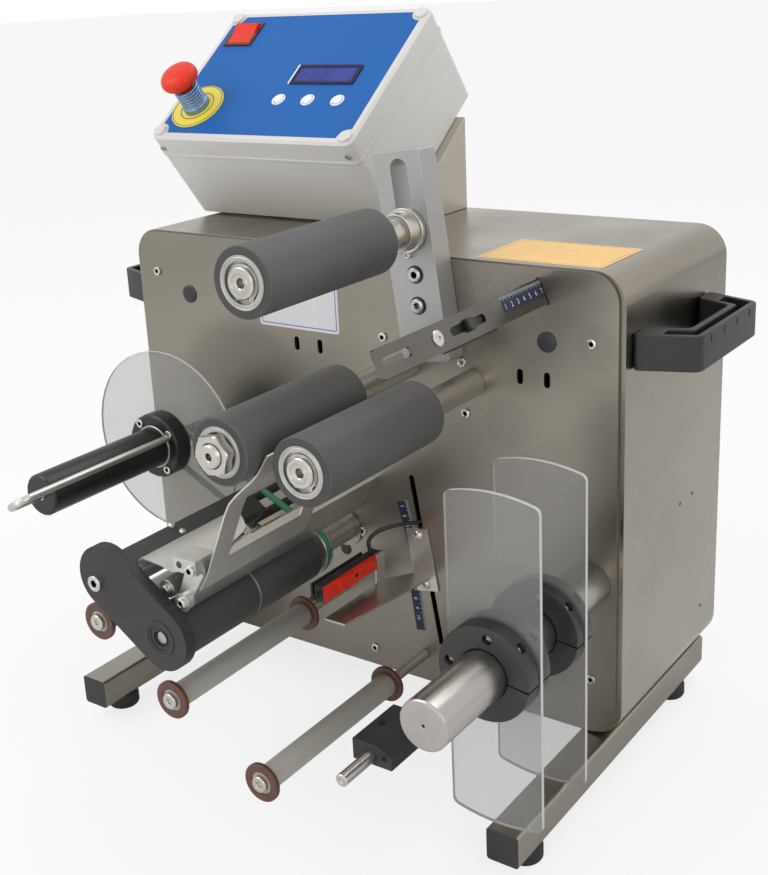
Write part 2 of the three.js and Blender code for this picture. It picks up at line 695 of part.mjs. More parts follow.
// Wedge bracket of folded sheet between the housing and the sloping box.
const wedgeLow = coverTop + fit;
const baseDrop = fit / Math.cos(rad(boxTilt));
const slopeAt = (y) => coverTop + boxRaise - baseDrop + (y - boxFrontY) * Math.tan(rad(boxTilt));
const wedgeFrontY = boxFrontY + wedgeThick * 3;
const wedgePoints = [
  [wedgeFrontY, wedgeLow], [wedgeBackY, wedgeLow], [wedgeBackY, slopeAt(wedgeBackY)],
  [wedgeFrontY, slopeAt(wedgeFrontY)],
];
const wedgeInner = insetPolygon(wedgePoints, wedgeThick);
wedgeInner[0] = [wedgeInner[0][0], wedgeLow - overrun];
wedgeInner[1] = [wedgeInner[1][0], wedgeLow - overrun];
const toShape = (points) => new THREE.Shape(points.map((p) => new THREE.Vector2(...p)));
const wedgeLeftX = boxLeftX + wedgeThick;
const wedgeRightX = boxLeftX + boxWidth + wedgeSide;
node(machine, 'box_wedge_bracket', cut(
  prismX(toShape(wedgePoints), wedgeLeftX, wedgeRightX),
  prismX(toShape(wedgeInner), wedgeLeftX + wedgeThick, wedgeRightX - wedgeThick)), 'steel');

// ================================================================ press column and roller
const columnTilt = 7.5;      // degrees, top leaning left
const columnWidth = 48.5;
const columnThick = 25;
const columnTopZ = 523;
const columnBottomZ = 339;
const columnMidX = 74.8;     // middle of the column's top edge
const columnRound = 3;
const pressSlotHalf = 8.5;
const pressSlotTopGap = 7;
const pressTravel = 50;
const columnBehind = fit;    // the column lies on the plate
const columnLength = (columnTopZ - columnBottomZ) / Math.cos(rad(columnTilt));
const column = groupAt(machine, columnMidX, -columnBehind, columnTopZ);
column.rotation.y = -rad(columnTilt);
// In the column's frame the top edge's middle is the origin and -Z runs down the column.
const pressDown = (columnTopZ - press.z) / Math.cos(rad(columnTilt));
const pressOff = (press.x - columnMidX - (columnTopZ - press.z) * Math.tan(rad(columnTilt)));
const slotLowZ = -pressDown;
const slotHighZ = -(pressSlotTopGap + pressSlotHalf);
const columnShape = roundRect(
  THREE.Shape, -columnWidth / 2, columnWidth / 2, -columnLength, 0, columnRound);
columnShape.holes.push(slot(THREE.Path, pressOff, slotLowZ, pressOff, slotHighZ, pressSlotHalf));
node(column, 'press_column', prismY(columnShape, -columnThick, 0, 6), 'aluminium');

const rollerRadius = 28;
const rollerBore = 21;
const coreBore = 12.8;
const coreRecess = 16.5;
const coreProud = 0.4;        // the metal core stands a little proud of the rubber
const coreRecessDeep = 3.2;
const shaftRadius = 12.5;
const clipRadius = 14;
const clipThick = 1.4;

// A rubber sleeve vulcanised on a metal core, recessed at both ends; the shaft has a clip and a shoulder.
function rubberRoller(parent, name, front, back) {
  const edge = fit * 3;
  node(parent, name, turned([[coreRecess, front - coreProud], [rollerBore, front - coreProud], [rollerBore, front],
    [rollerRadius - edge, front], [rollerRadius, front + edge], [rollerRadius, back - edge],
    [rollerRadius - edge, back], [coreRecess, back], [coreRecess, back - coreRecessDeep],
    [coreBore, back - coreRecessDeep], [coreBore, front + coreRecessDeep], [coreRecess, front + coreRecessDeep]]),
  'rubber');
}

// The profile of the shaft through such a roller, from its front tip to its shoulder.
function shaftNose(front, back, tip) {
  return [
    [0, front - tip], [shaftRadius - run, front - tip], [shaftRadius, front - tip + run],
    [shaftRadius, front + coreRecessDeep - fit - clipThick], [clipRadius, front + coreRecessDeep - fit - clipThick],
    [clipRadius, front + coreRecessDeep - fit], [shaftRadius, front + coreRecessDeep - fit],
    [shaftRadius, back - coreRecessDeep + fit], [clipRadius, back - coreRecessDeep + fit],
    [clipRadius, back + coreRecessDeep], [shaftRadius, back + coreRecessDeep],
  ];
}

const pressFront = -243.5;
const pressBack = -79.6;
const pressTip = 2.5;
const pressCollarRadius = 17;
const pressCollarLong = 13;
const pressFlangeRadius = 20;
const pressFlangeLong = 6;
const pressNutThick = 12;
const pressNutRadius = 15;
const carriage = groupAt(column, pressOff, columnBehind, -pressDown);
carriage.rotation.y = rad(columnTilt);
const columnFace = -columnThick - columnBehind;
const flangeBack = columnFace - fit;
const carriageStem = pressSlotHalf - run;
const pressShaft = turned([
  ...shaftNose(pressFront, pressBack, pressTip),
  [shaftRadius, flangeBack - pressFlangeLong - pressCollarLong],
  [pressCollarRadius, flangeBack - pressFlangeLong - pressCollarLong],
  [pressCollarRadius, flangeBack - pressFlangeLong], [pressFlangeRadius, flangeBack - pressFlangeLong],
  [pressFlangeRadius, flangeBack], [carriageStem, flangeBack], [carriageStem, pressNutThick + fit * 4],
  [0, pressNutThick + fit * 4]], midSides);
const pressNut = turned([[0, fit - columnBehind], [pressNutRadius, fit - columnBehind],
  [pressNutRadius, pressNutThick], [0, pressNutThick]], 6);
node(carriage, 'press_shaft', join(pressShaft, pressNut), 'bright');
rubberRoller(carriage, 'press_roller', pressFront, pressBack);

// ================================================================ cradle rollers
const hexRadius = 17.5;
const hexThick = 9;
const stubRadius = 9.5;
const stubLong = 4;
const centreHole = 3;
function cradle(name, axis, front, back, withNut) {
  const hold = groupAt(machine, axis.x, 0, axis.z);
  const plateEnd = [[shaftRadius, -fit], [spigotRadius, -fit], [spigotRadius, plateThick], [0, plateThick]];
  let shaft;
  if (withNut) {
    shaft = turned([[0, front - hexThick - stubLong], [stubRadius, front - hexThick - stubLong],
      [stubRadius, front - fit * 4], ...shaftNose(front, back, 0).slice(2), ...plateEnd], midSides);
    const hex = new THREE.CylinderGeometry(hexRadius, hexRadius, hexThick, 6)
      .rotateY(Math.PI / 6).translate(0, front - fit - coreProud - hexThick / 2, 0);
    shaft = join(shaft, hex);
  } else {
    shaft = turned([...shaftNose(front, back, pressTip), ...plateEnd], midSides);
  }
  const tip = withNut ? front - hexThick - stubLong : front - pressTip;
  shaft = cut(shaft, barY(centreHole, tip - overrun, tip + centreHole * 3, smallSides));
  node(hold, `${name}_shaft`, shaft, 'bright');
  rubberRoller(hold, name, front, back);
}
const cradleLeftFront = -258.6;
const cradleLeftBack = -101.4;
const cradleRightFront = -247.6;
const cradleRightBack = -91.8;
cradle('cradle_left', cradleLeft, cradleLeftFront, cradleLeftBack, true);
cradle('cradle_right', cradleRight, cradleRightFront, cradleRightBack, false);

// ================================================================ unwinder with two roll plates
const reelShaftRadius = 21;
const reelShaftFront = -267;
const reelPlateRadius = 145;
const reelPlateWidth = 83;
const reelPlateThick = 4;
const reelPlateRound = 10;
const reelPlateNear = -166;
const reelPlateFar = -90;
const ringRadius = 40.5;
const ringFrontLong = 16;
const ringBackLong = 14;
const ringFarLong = 11;
const ringEdge = 1.5;
const ringSplit = 1.6;
const ringBoltRadius = 3;
const ringBoltDeep = 4;
const reel = groupAt(machine, unwind.x, 0, unwind.z);
node(reel, 'unwinder_shaft', turned([[0, reelShaftFront], [reelShaftRadius - ringEdge / 2, reelShaftFront],
  [reelShaftRadius, reelShaftFront + ringEdge / 2], [reelShaftRadius, -fit], [spigotRadius, -fit],
  [spigotRadius, plateThick], [0, plateThick]]), 'aluminium');

// Each hub is a pair of split clamp rings, bolted together through the plate that they carry.
const hubNeck = 24;
function clampHub(plateFront, frontLong, backLong) {
  const plateBack = plateFront + reelPlateThick;
  const front = plateFront - fit - frontLong;
  const back = plateBack + fit + backLong;
  const inner = reelShaftRadius + run;
  const ring = turned([[inner, front], [ringRadius - ringEdge, front], [ringRadius, front + ringEdge],
    [ringRadius, plateFront - fit], [hubNeck, plateFront - fit], [hubNeck, plateBack + fit],
    [ringRadius, plateBack + fit], [ringRadius, back - ringEdge], [ringRadius - ringEdge, back], [inner, back]]);
  const slit = block(reelShaftRadius, ringRadius + overrun, front - overrun, back + overrun, -ringSplit / 2,
    ringSplit / 2);
  const boltAt = (reelShaftRadius + ringRadius) / 2;
  const sockets = [1, 2, 3].map((i) => barY(ringBoltRadius, front - ringBoltDeep, front + ringBoltDeep, 8,
    boltAt * Math.cos(i * Math.PI / 2), boltAt * Math.sin(i * Math.PI / 2)));
  return cut(ring, slit, ...sockets).rotateY(rad(columnTilt));
}

for (const [name, y, frontLong, backLong] of [
  ['near', reelPlateNear, ringFrontLong, ringBackLong], ['far', reelPlateFar, ringFarLong, ringFarLong]]) {
  const disc = prismY(circle(THREE.Shape, 0, 0, reelPlateRadius, discSides), y, y + reelPlateThick);
  const strip = prismY(softPolygon(THREE.Shape, [
    [-reelPlateWidth / 2, -reelPlateRadius], [reelPlateWidth / 2, -reelPlateRadius],
    [reelPlateWidth / 2, reelPlateRadius], [-reelPlateWidth / 2, reelPlateRadius]], reelPlateRound),
  y - overrun, y + reelPlateThick + overrun);
  node(reel, `roll_plate_${name}`, cut(common(disc, strip), barY(
    hubNeck + fit, y - overrun, y + reelPlateThick + overrun, bigSides)), 'acrylic');
  node(reel, `clamp_hub_${name}`, clampHub(y, frontLong, backLong), 'black');
}

// ================================================================ drive belt line
const beltRadius = 3.2;
const beltY = -60;
const beltPulleyRewind = 18.5;   // pitch radii
const beltPulleyPull = 21.5;
const pulleyHalf = 5;
const beltSides = 8;
const beltTurnSteps = 10;
const beltSpan = new THREE.Vector2(pull.x - rewind.x, pull.z - rewind.z);
const beltLength = beltSpan.length();
const beltAngle = Math.atan2(beltSpan.y, beltSpan.x);
const beltOpen = Math.asin((beltPulleyPull - beltPulleyRewind) / beltLength);

function closedSweep(points, radius, sides) {
  const positions = [];
  const index = [];
  const count = points.length;
  points.forEach((p, i) => {
    const before = points[(i + count - 1) % count];
    const after = points[(i + 1) % count];
    const along = after.clone().sub(before).normalize();
    const outX = along.y;
    const outZ = -along.x;
    for (let j = 0; j < sides; j += 1) {
      const turn = j * Math.PI * 2 / sides;
      const out = radius * Math.cos(turn);
      positions.push(p.x + outX * out, beltY + radius * Math.sin(turn), p.y + outZ * out);
    }
  });
  for (let i = 0; i < count; i += 1) {
    const next = (i + 1) % count;
    for (let j = 0; j < sides; j += 1) {
      const side = (j + 1) % sides;
      const [a, b, c, d] = [i * sides + j, i * sides + side, next * sides + side, next * sides + j];
      index.push(a, b, c, a, c, d);
    }
  }
  const geometry = new THREE.BufferGeometry();
  geometry.setAttribute('position', new THREE.BufferAttribute(new Float32Array(positions), 3));
  geometry.setIndex(index);
  return geometry;
}

const beltPoints = [];
const beltArc = (centre, radius, from, to) => {
  for (let i = 0; i <= beltTurnSteps; i += 1) {
    const angle = from + (to - from) * i / beltTurnSteps;
    beltPoints.push(new THREE.Vector2(centre.x + radius * Math.cos(angle), centre.z + radius * Math.sin(angle)));
  }
};
// With facets on the arcs, the belt's line runs a little outside its pitch circle to stay clear.
const beltLift = 1 / Math.cos(Math.PI / 2 / beltTurnSteps);
beltArc(pull, beltPulleyPull * beltLift, beltAngle - Math.PI / 2 - beltOpen, beltAngle + Math.PI / 2 + beltOpen);
beltArc(rewind, beltPulleyRewind * beltLift, beltAngle + Math.PI / 2 + beltOpen,
  beltAngle + Math.PI * 1.5 - beltOpen);
node(machine, 'drive_belt', outwards(closedSweep(beltPoints, beltRadius, beltSides)), 'green');

// A grooved pulley's outline between two Y places, for the belt's round section.
function pulleyProfile(pitch) {
  const floor = pitch - beltRadius - fit * 2;
  const rim = pitch + beltRadius / 2;
  return [[rim, beltY - pulleyHalf], [rim, beltY - beltRadius - fit * 2], [floor, beltY - beltRadius - fit],
    [floor, beltY + beltRadius + fit], [rim, beltY + beltRadius + fit * 2], [rim, beltY + pulleyHalf]];
}

// ================================================================ rewinder
const discRadius = 93;
const discThick = 3;
const discFront = -68.6;
const hubRadius = 33;
const hubLong = 18;
const hubEdge = 2;
const mandrelRadius = 20;
const mandrelFront = -233;
const rodRadius = 3.5;
const rodOffset = 25.2;
const rodAngle = 31;         // degrees above +X
const rodTip = -276;
const rodTail = -74;
const rodShortTail = -222;
const spool = groupAt(machine, rewind.x, 0, rewind.z);
const rewindPulley = pulleyProfile(beltPulleyRewind);
const spindle = turned([
  [0, discFront - hubLong], [spindleRadius, discFront - hubLong], [spindleRadius, beltY - pulleyHalf],
  ...rewindPulley, [spindleRadius, beltY + pulleyHalf], [spindleRadius, plateThick + bearingDeep + fit],
  [spindleRadius + bearingFlangeThick, plateThick + bearingDeep + fit],
  [spindleRadius + bearingFlangeThick, plateThick + bearingDeep + fit + bearingFlangeThick],
  [0, plateThick + bearingDeep + fit + bearingFlangeThick]], midSides);
node(spool, 'rewind_disc', prismY((() => {
  const outline = circle(THREE.Shape, 0, 0, discRadius, discSides);
  outline.holes.push(circle(THREE.Path, 0, 0, spindleRadius + fit));
  return outline;
})(), discFront, discFront + discThick), 'acrylic');
const hubBack = discFront - fit;
const mandrelBody = turned([[0, mandrelFront], [mandrelRadius - hubEdge, mandrelFront],
  [mandrelRadius, mandrelFront + hubEdge], [mandrelRadius, hubBack - hubLong],
  [hubRadius - hubEdge, hubBack - hubLong], [hubRadius, hubBack - hubLong + hubEdge], [hubRadius, hubBack],
  [0, hubBack]]);
const rodX = rodOffset * Math.cos(rad(rodAngle));
const rodZ = rodOffset * Math.sin(rad(rodAngle));
node(spool, 'rewind_mandrel', cut(join(mandrelBody, spindle),
  barY(rodRadius + run, hubBack - hubLong - overrun, hubBack + overrun, smallSides, rodX, rodZ),
  barY(rodRadius + run, mandrelFront - overrun, rodShortTail + overrun, smallSides)), 'black');

// The bright U rod that clamps the waste web on the mandrel and is drawn out to free it.
const bend = rodOffset / 2;
const bendSteps = 8;
const bendY = rodTip + rodRadius + bend;
const outward = new THREE.Vector3(Math.cos(rad(rodAngle)), 0, Math.sin(rad(rodAngle)));
const bendPoint = (i) => {
  const turn = Math.PI * i / bendSteps;
  return outward.clone().multiplyScalar(bend + bend * Math.cos(turn)).setY(bendY - bend * Math.sin(turn));
};
const rodStart = outward.clone().multiplyScalar(rodOffset).setY(rodTail);
const rodEnd = new THREE.Vector3(0, rodShortTail, 0);
const rodPoints = [rodStart, ...Array.from({ length: bendSteps + 1 }, (_, i) => bendPoint(i)), rodEnd];

// A round section carried along points that lie in one plane.
function sweep(points, radius, sides, side) {
  const positions = [];
  const index = [];
  points.forEach((p, i) => {
    const d0 = i > 0 ? p.clone().sub(points[i - 1]).normalize() : null;
    const d1 = i < points.length - 1 ? points[i + 1].clone().sub(p).normalize() : null;
    const along = (d0 && d1) ? d0.clone().add(d1).normalize() : (d0 || d1);
    const across = new THREE.Vector3().crossVectors(along, side).normalize();
    for (let j = 0; j < sides; j += 1) {
      const turn = j * Math.PI * 2 / sides;
      const q = p.clone().addScaledVector(across, radius * Math.cos(turn)).addScaledVector(side,
        radius * Math.sin(turn));
      positions.push(q.x, q.y, q.z);
    }
  });
  const rings = points.length;
  for (let i = 0; i < rings - 1; i += 1) {
    for (let j = 0; j < sides; j += 1) {
      const k = (j + 1) % sides;
      index.push(i * sides + j, (i + 1) * sides + k, i * sides + k);
      index.push(i * sides + j, (i + 1) * sides + j, (i + 1) * sides + k);
    }
  }
  for (let j = 1; j < sides - 1; j += 1) {
    index.push(0, j, j + 1);
    const last = (rings - 1) * sides;
    index.push(last, last + j + 1, last + j);
  }
  const geometry = new THREE.BufferGeometry();
  geometry.setAttribute('position', new THREE.BufferAttribute(new Float32Array(positions), 3));
  geometry.setIndex(index);
  return outwards(geometry);
}

// Turns a closed mesh's faces outwards if they point in.
function outwards(geometry) {
  const p = geometry.attributes.position;
  const index = Array.from(geometry.index.array);
  const at = (i) => new THREE.Vector3().fromBufferAttribute(p, i);
  let volume = 0;
  for (let i = 0; i < index.length; i += 3) {
    volume += at(index[i]).dot(at(index[i + 1]).cross(at(index[i + 2])));
  }
  if (volume < 0) {
    for (let i = 0; i < index.length; i += 3) [index[i + 1], index[i + 2]] = [index[i + 2], index[i + 1]];
    geometry.setIndex(index);
  }
  return geometry;
}
const rodSide = new THREE.Vector3(0, 1, 0).cross(outward).normalize();
node(spool, 'rewind_rod', sweep(rodPoints, rodRadius, 10, rodSide), 'bright');

// ================================================================ pull roller and its side plate
const pullRadius = 25;
const pullFront = -252.4;
const pullBack = -74;
const pullSeam = 1.6;
const pullSeamDeep = 0.8;
const pullShaft = 12.5;
const pullJournal = 6;
const pullTail = 46;
const cheekFront = -265.3;
const cheekThick = 12;
const cheekRadius = 29.5;
const cheekFarX = -80;
const cheekFarZ = 186.5;
const cheekBack = cheekFront + cheekThick;
const sideBearing = 16;
const sideBearingDeep = 9;
const pullGroup = groupAt(machine, pull.x, 0, pull.z);
const pullMiddle = (pullFront + pullBack) / 2;
const pullPulley = pulleyProfile(beltPulleyPull);
node(pullGroup, 'pull_roller', turned([
  [0, cheekFront + hubEdge], [pullJournal, cheekFront + hubEdge], [pullJournal, pullFront],
  [pullRadius - hubEdge / 2, pullFront], [pullRadius, pullFront + hubEdge / 2],
  [pullRadius, pullMiddle - pullSeam], [pullRadius - pullSeamDeep, pullMiddle - pullSeam / 2],
  [pullRadius - pullSeamDeep, pullMiddle + pullSeam / 2], [pullRadius, pullMiddle + pullSeam],
  [pullRadius, pullBack - hubEdge / 2], [pullRadius - hubEdge / 2, pullBack], [pullShaft, pullBack],
  [pullShaft, beltY - pulleyHalf], ...pullPulley, [pullShaft, beltY + pulleyHalf],
  [pullShaft, -fit * 2 - bearingFlangeThick], [spindleRadius, -fit * 2 - bearingFlangeThick],
  [spindleRadius, pullTail], [0, pullTail]]), 'rubber');

const cheekShape = slot(THREE.Shape, cheekFarX - pull.x, cheekFarZ - pull.z, 0, 0, cheekRadius);
// The bearing's outer ring stands in a round recess of the plate; a pin behind carries the nip roller.
const sidePlateBody = cut(
  prismY(cheekShape, cheekFront, cheekBack, 14),
  ringY(sideBearing - ringEdge, sideBearing, cheekFront - overrun, cheekFront + ringEdge, midSides),
  ringY(pullJournal + run, sideBearing - ringEdge * 3, cheekFront - overrun, cheekFront + ringEdge, midSides),
  barY(pullJournal + run, cheekFront - overrun, cheekBack + overrun, midSides));
// Tie bar: a flat bar behind the side plate, with a foot and two studs between the belt's runs.
const tieWide = 30;
const tieThick = 12;
const tieX = -73;
const tieZ = 190;
const tieBack = -76;
const tieFoot = 6;
const tieStud = 5;
const cheekSlope = Math.atan2(cheekFarZ - pull.z, cheekFarX - pull.x) - Math.PI;
const tie = groupAt(machine, tieX, 0, tieZ);
tie.rotation.y = -cheekSlope;
const tieAcross = new THREE.Vector2(tieX - rewind.x, tieZ - rewind.z).rotateAround(
  new THREE.Vector2(), -beltAngle).y;
const studOff = -tieAcross;
const tieBody = join(
  block(-tieWide / 2, tieWide / 2, cheekBack + fit, tieBack, -tieThick / 2, tieThick / 2),
  block(-tieWide / 2, tieWide / 2, tieBack - tieFoot, tieBack, studOff - tieStud * 1.4, tieThick / 2),
  barY(tieStud, tieBack - tieFoot / 2, -fit, smallSides, -tieWide / 3, studOff),
  barY(tieStud, tieBack - tieFoot / 2, -fit, smallSides, tieWide / 3, studOff));
node(tie, 'tie_bar', tieBody, 'black');

// ================================================================ dispensing head
// The beam is a folded channel from the housing; its outer face slopes from (lowX, lowZ) to (topX, topZ).
const beamTopX = 20;
const beamTopZ = 206;
const beamLowX = -2.5;
const beamLowZ = 169;
const beamThick = 3;
const beamFront = -244;
const beamFlange = 20;
const beamDir = new THREE.Vector2(beamTopX - beamLowX, beamTopZ - beamLowZ).normalize();
const beamOut = new THREE.Vector2(beamDir.y, -beamDir.x);
const beamLow = new THREE.Vector2(beamLowX, beamLowZ);
const beamTop = new THREE.Vector2(beamTopX, beamTopZ);
const beamSection = sheetOutline([
  [beamLow.x, beamLow.y], [beamTop.x, beamTop.y], [beamTop.x - beamFlange, beamTop.y]], beamThick);
const lugRadius = 7;
const nipX = -27;
const nipZ = 181;
const nipRadius = 8.5;
const nipPin = 3.5;
const nipFront = -248;
const nipBack = -130;
const lugThick = 5;
// The end plate closes the channel's front; a lug inside it carries the nip roller's spindle.
const endPlate = prismY(new THREE.Shape([
  beamLow.clone().addScaledVector(beamOut, -beamThick * 4),
  beamLow, beamTop, new THREE.Vector2(beamTopX - beamFlange, beamTopZ)]), beamFront - beamThick, beamFront + fit);
const lug = prismY(softPolygon(THREE.Shape, [
  [nipX - lugRadius, nipZ - lugRadius], [beamLow.x, nipZ - lugRadius],
  [beamTop.x - beamFlange + beamThick, beamTopZ - beamThick], [beamTop.x - beamFlange, beamTopZ - beamThick],
  [nipX - lugRadius, nipZ + lugRadius]], lugRadius / 2), nipBack + fit * 2, nipBack + fit * 2 + lugThick, 3);
const beamBody = join(
  prismY(beamSection, beamFront, -fit), endPlate,
  common(lug, prismY(new THREE.Shape([
    new THREE.Vector2(nipX - lugRadius * 2, nipZ - lugRadius * 2), beamLow.clone().addScaledVector(beamOut, -fit),
    beamTop, new THREE.Vector2(nipX - lugRadius * 2, beamTopZ)]), nipBack, nipBack + lugThick * 2)));
node(pullGroup, 'head_side_plate', join(sidePlateBody, barY(
  nipPin, cheekBack - overrun, nipBack + fit * 2 + lugThick, smallSides, nipX - pull.x, nipZ - pull.z)), 'black');
node(machine, 'nip_roller', turned([[nipPin + run, nipFront], [nipRadius, nipFront], [nipRadius, nipBack],
  [nipPin + run, nipBack]], midSides), 'bright', [nipX, 0, nipZ]);

// A block on the beam's front end clamps the sheets and is one piece with the beam here.
const clampHigh = 13;
const clampWide = 25;
const clampLong = 24;
const clampX = -5;
const sheetThick = 1.5;
const guideSeat = beamTopZ + fit;
const clampLow = guideSeat + sheetThick + fit;
const clampFront = -255;
const clampBody = join(
  block(clampX, clampX + clampWide, clampFront, clampFront + clampLong, clampLow, clampLow + clampHigh),
  block(beamTopX - beamThick + fit, beamTopX - fit * 3, beamFront - beamThick, clampFront + clampLong,
    beamTopZ - beamThick / 2, clampLow + clampHigh / 2));
node(machine, 'applicator_beam', cut(
  join(beamBody, clampBody),
  barY(nipPin + fit, nipBack, nipBack + lugThick * 2, smallSides, nipX, nipZ),
  barY(clampHigh / 4, clampFront - overrun, clampFront + clampLong / 4, smallSides,
    clampX + clampHigh / 2, clampLow + clampHigh / 2)), 'bright');

// Web guide: a thin sheet with a rolled nose, cut off at a slant behind.
const guideFront = -250;
const guideBack = -120;
const noseX = -51;
const dip = 4;
const noseRoll = 5;
const guideSection = sheetOutline([
  [noseX + noseRoll * 0.7, guideSeat - noseRoll * 1.8], [noseX + noseRoll * 0.15, guideSeat - noseRoll * 1.5],
  [noseX, guideSeat - noseRoll], [noseX + noseRoll * 0.25, guideSeat - noseRoll * 0.35],
  [noseX + noseRoll, guideSeat], [noseX / 2, guideSeat - dip / 4], [noseX / 4, guideSeat - dip],
  [0, guideSeat], [beamTopX - beamThick, guideSeat]].reverse(), -sheetThick);
const guidePlan = prismZ(new THREE.Shape([
  new THREE.Vector2(noseX - overrun, guideFront - overrun), new THREE.Vector2(beamTopX, guideFront - overrun),
  new THREE.Vector2(beamTopX, clampFront + clampLong + fit), new THREE.Vector2(noseX / 3, guideBack - beamTopX * 1.5),
  new THREE.Vector2(noseX - overrun, guideBack)]), guideSeat - noseRoll * 4, guideSeat + noseRoll * 2);
node(machine, 'web_guide_sheet', common(prismY(guideSection, guideFront, guideBack + overrun), guidePlan), 'bright');

// Peel plate: rises from the beam and curves over into the gap between the cradle rollers.
const peelFront = -243;
const peelBack = -105;
const peelLegFront = 22;
const peelLegBack = 20;
const peelKneeX = 46;
const peelKneeZ = 262;
const peelWindowLow = 9;
const peelWindowHigh = 10;
const peelGap = fit + sheetThick;
const peelFoot = beamTop.clone().addScaledVector(beamDir, -beamFlange).addScaledVector(beamOut, peelGap);
const peelBend = beamTop.clone().addScaledVector(beamOut, peelGap);
const peelKnee = new THREE.Vector2(peelKneeX, peelKneeZ);
const gapMiddle = new THREE.Vector2((cradleLeft.x + cradleRight.x) / 2, (cradleLeft.z + cradleRight.z) / 2);
// Shares of the way from the knee to the gap's middle, along X and along Z.
const peelShares = [[0.12, 0.19], [0.28, 0.334], [0.44, 0.457], [0.6, 0.576], [0.75, 0.7], [0.856, 0.828],
  [0.94, 0.945], [1, 1.02]];
const peelCurve = peelShares.map(([u, w]) => [
  peelKnee.x + (gapMiddle.x - peelKnee.x) * u, peelKnee.y + (gapMiddle.y - peelKnee.y) * w]);
const peelSheet = prismY(sheetOutline([
  [peelFoot.x, peelFoot.y], [peelBend.x, peelBend.y], [peelKnee.x, peelKnee.y], ...peelCurve], sheetThick),
peelFront, peelBack);
node(machine, 'peel_plate', cut(peelSheet, block(
  peelFoot.x - overrun * 2, peelKnee.x + overrun * 3, peelFront + peelLegFront, peelBack - peelLegBack,
  beamTopZ + peelWindowLow, peelKneeZ + peelWindowHigh)), 'bright');

// ================================================================ guide rollers
const guideTube = 11;
const guideRing = 17.5;
const guideRingThick = 5;
const guideRod = 5;
const guideFrontY = -252;
const guideBackY = -63;
const guideTip = 3;
const guideHead = 7.5;
const guideBossLong = 4;
for (const { name, x, z } of guides) {
  const hold = groupAt(machine, x, 0, z);
  const tubeFront = guideFrontY + guideBossLong;
  node(hold, `guide_rod_${name}`, turned([[0, guideFrontY - guideTip], [guideHead, guideFrontY - guideTip],
    [guideHead, guideFrontY - fit], [guideRod, guideFrontY - fit], [guideRod, -fit], [rodSpigot, -fit],
    [rodSpigot, plateThick], [0, plateThick]], smallSides), 'bright');
  const bore = guideRod + run;
  const flange = (y) => [[guideTube, y], [guideRing, y + hubEdge / 4],
    [guideRing, y + guideRingThick - hubEdge / 4], [guideTube, y + guideRingThick]];
  node(hold, `guide_roller_${name}`, turned([[bore, guideFrontY], [guideTube, guideFrontY], ...flange(tubeFront),
    ...flange(guideBackY - guideRingThick - guideBossLong), [guideTube, guideBackY], [bore, guideBackY]],
  midSides), 'tubeGrey');
}

// ================================================================ rod with the guide block
const blockRodRadius = 5.5;
const blockRodFront = -250;
const blockWide = 38.5;
const blockTall = 19;
const blockLong = 60;
const blockFront = -210;
const blockNose = 16;
const blockHold = groupAt(machine, blockRod.x, 0, blockRod.z);
node(blockHold, 'block_rod', turned([[0, blockRodFront], [blockRodRadius - run, blockRodFront],
  [blockRodRadius, blockRodFront + run], [blockRodRadius, -fit], [rodSpigot, -fit], [rodSpigot, plateThick],
  [0, plateThick]], smallSides), 'bright');
const blockTop = blockTall * 0.62;
const blockLeft = -blockWide * 0.45;
node(blockHold, 'guide_block', cut(
  prismY(new THREE.Shape([
    new THREE.Vector2(blockLeft, blockTop - blockTall), new THREE.Vector2(blockLeft + blockWide, blockTop - blockTall),
    new THREE.Vector2(blockLeft + blockWide, blockTop - blockTall / 3),
    new THREE.Vector2(blockLeft + blockWide - blockNose, blockTop), new THREE.Vector2(blockLeft, blockTop)]),
  blockFront, blockFront + blockLong),
  barY(blockRodRadius + run / 2, blockFront - overrun, blockFront + blockLong + overrun, midSides)), 'black');

// ================================================================ label sensor
const flangeThick = 2;
const flangeLeft = 16;
const flangeRight = 9;
const flangeHalf = 32;
const flangeDown = 2;        // flange centre above the slot's middle
const boltHalf = 22;
const trayZ = 113;
const trayFront = -120;
const trayLeftX = 41.6;
const trayRightX = 64;
const trayRootX = 80;
const tabLong = 14;
const tabBack = -27;
const sensorX = 37;
const sensorWide = 10;
const sensorLow = 130;
const sensorHigh = 146;
const sensorFront = -120;
const sensorBack = -30;
const sensorNose = 2.6;
const sensorNoseLong = 12;
const sensorRail = 2.5;
const flangeMid = flangeDown;
const bolts = [-1, 1].map((side) => barY(slotHalf - run, -fit - flangeThick, plateThick + fit + flangeThick / 2,
  smallSides, 0, flangeMid + side * boltHalf));
const flangeBody = join(
  block(-flangeLeft, flangeRight, -fit - flangeThick, -fit, flangeMid - flangeHalf, flangeMid + flangeHalf),
  block(-slotHalf * 2, slotHalf * 2, plateThick + fit, plateThick + fit + flangeThick, flangeMid - flangeHalf,
    flangeMid + flangeHalf),
  ...bolts);
flangeBody.applyMatrix4(new THREE.Matrix4().makeRotationY(-rad(slotTilt)))
  .translate(sensorSlot.x, 0, sensorSlot.z);
const trayBody = prismZ(new THREE.Shape([
  new THREE.Vector2(trayLeftX, trayFront), new THREE.Vector2(trayRightX, trayFront),
  new THREE.Vector2(trayRootX, -fit - flangeThick / 2),
  new THREE.Vector2(sensorSlot.x - flangeLeft + flangeThick, -fit - flangeThick / 2),
  new THREE.Vector2(trayLeftX, tabBack)]), trayZ, trayZ + flangeThick);
const tabX = sensorX + sensorWide / 2 + fit;
const tabBody = block(tabX, tabX + flangeThick, tabBack - tabLong, tabBack, trayZ, sensorHigh);
node(machine, 'sensor_bracket', join(flangeBody, trayBody, tabBody), 'steel');

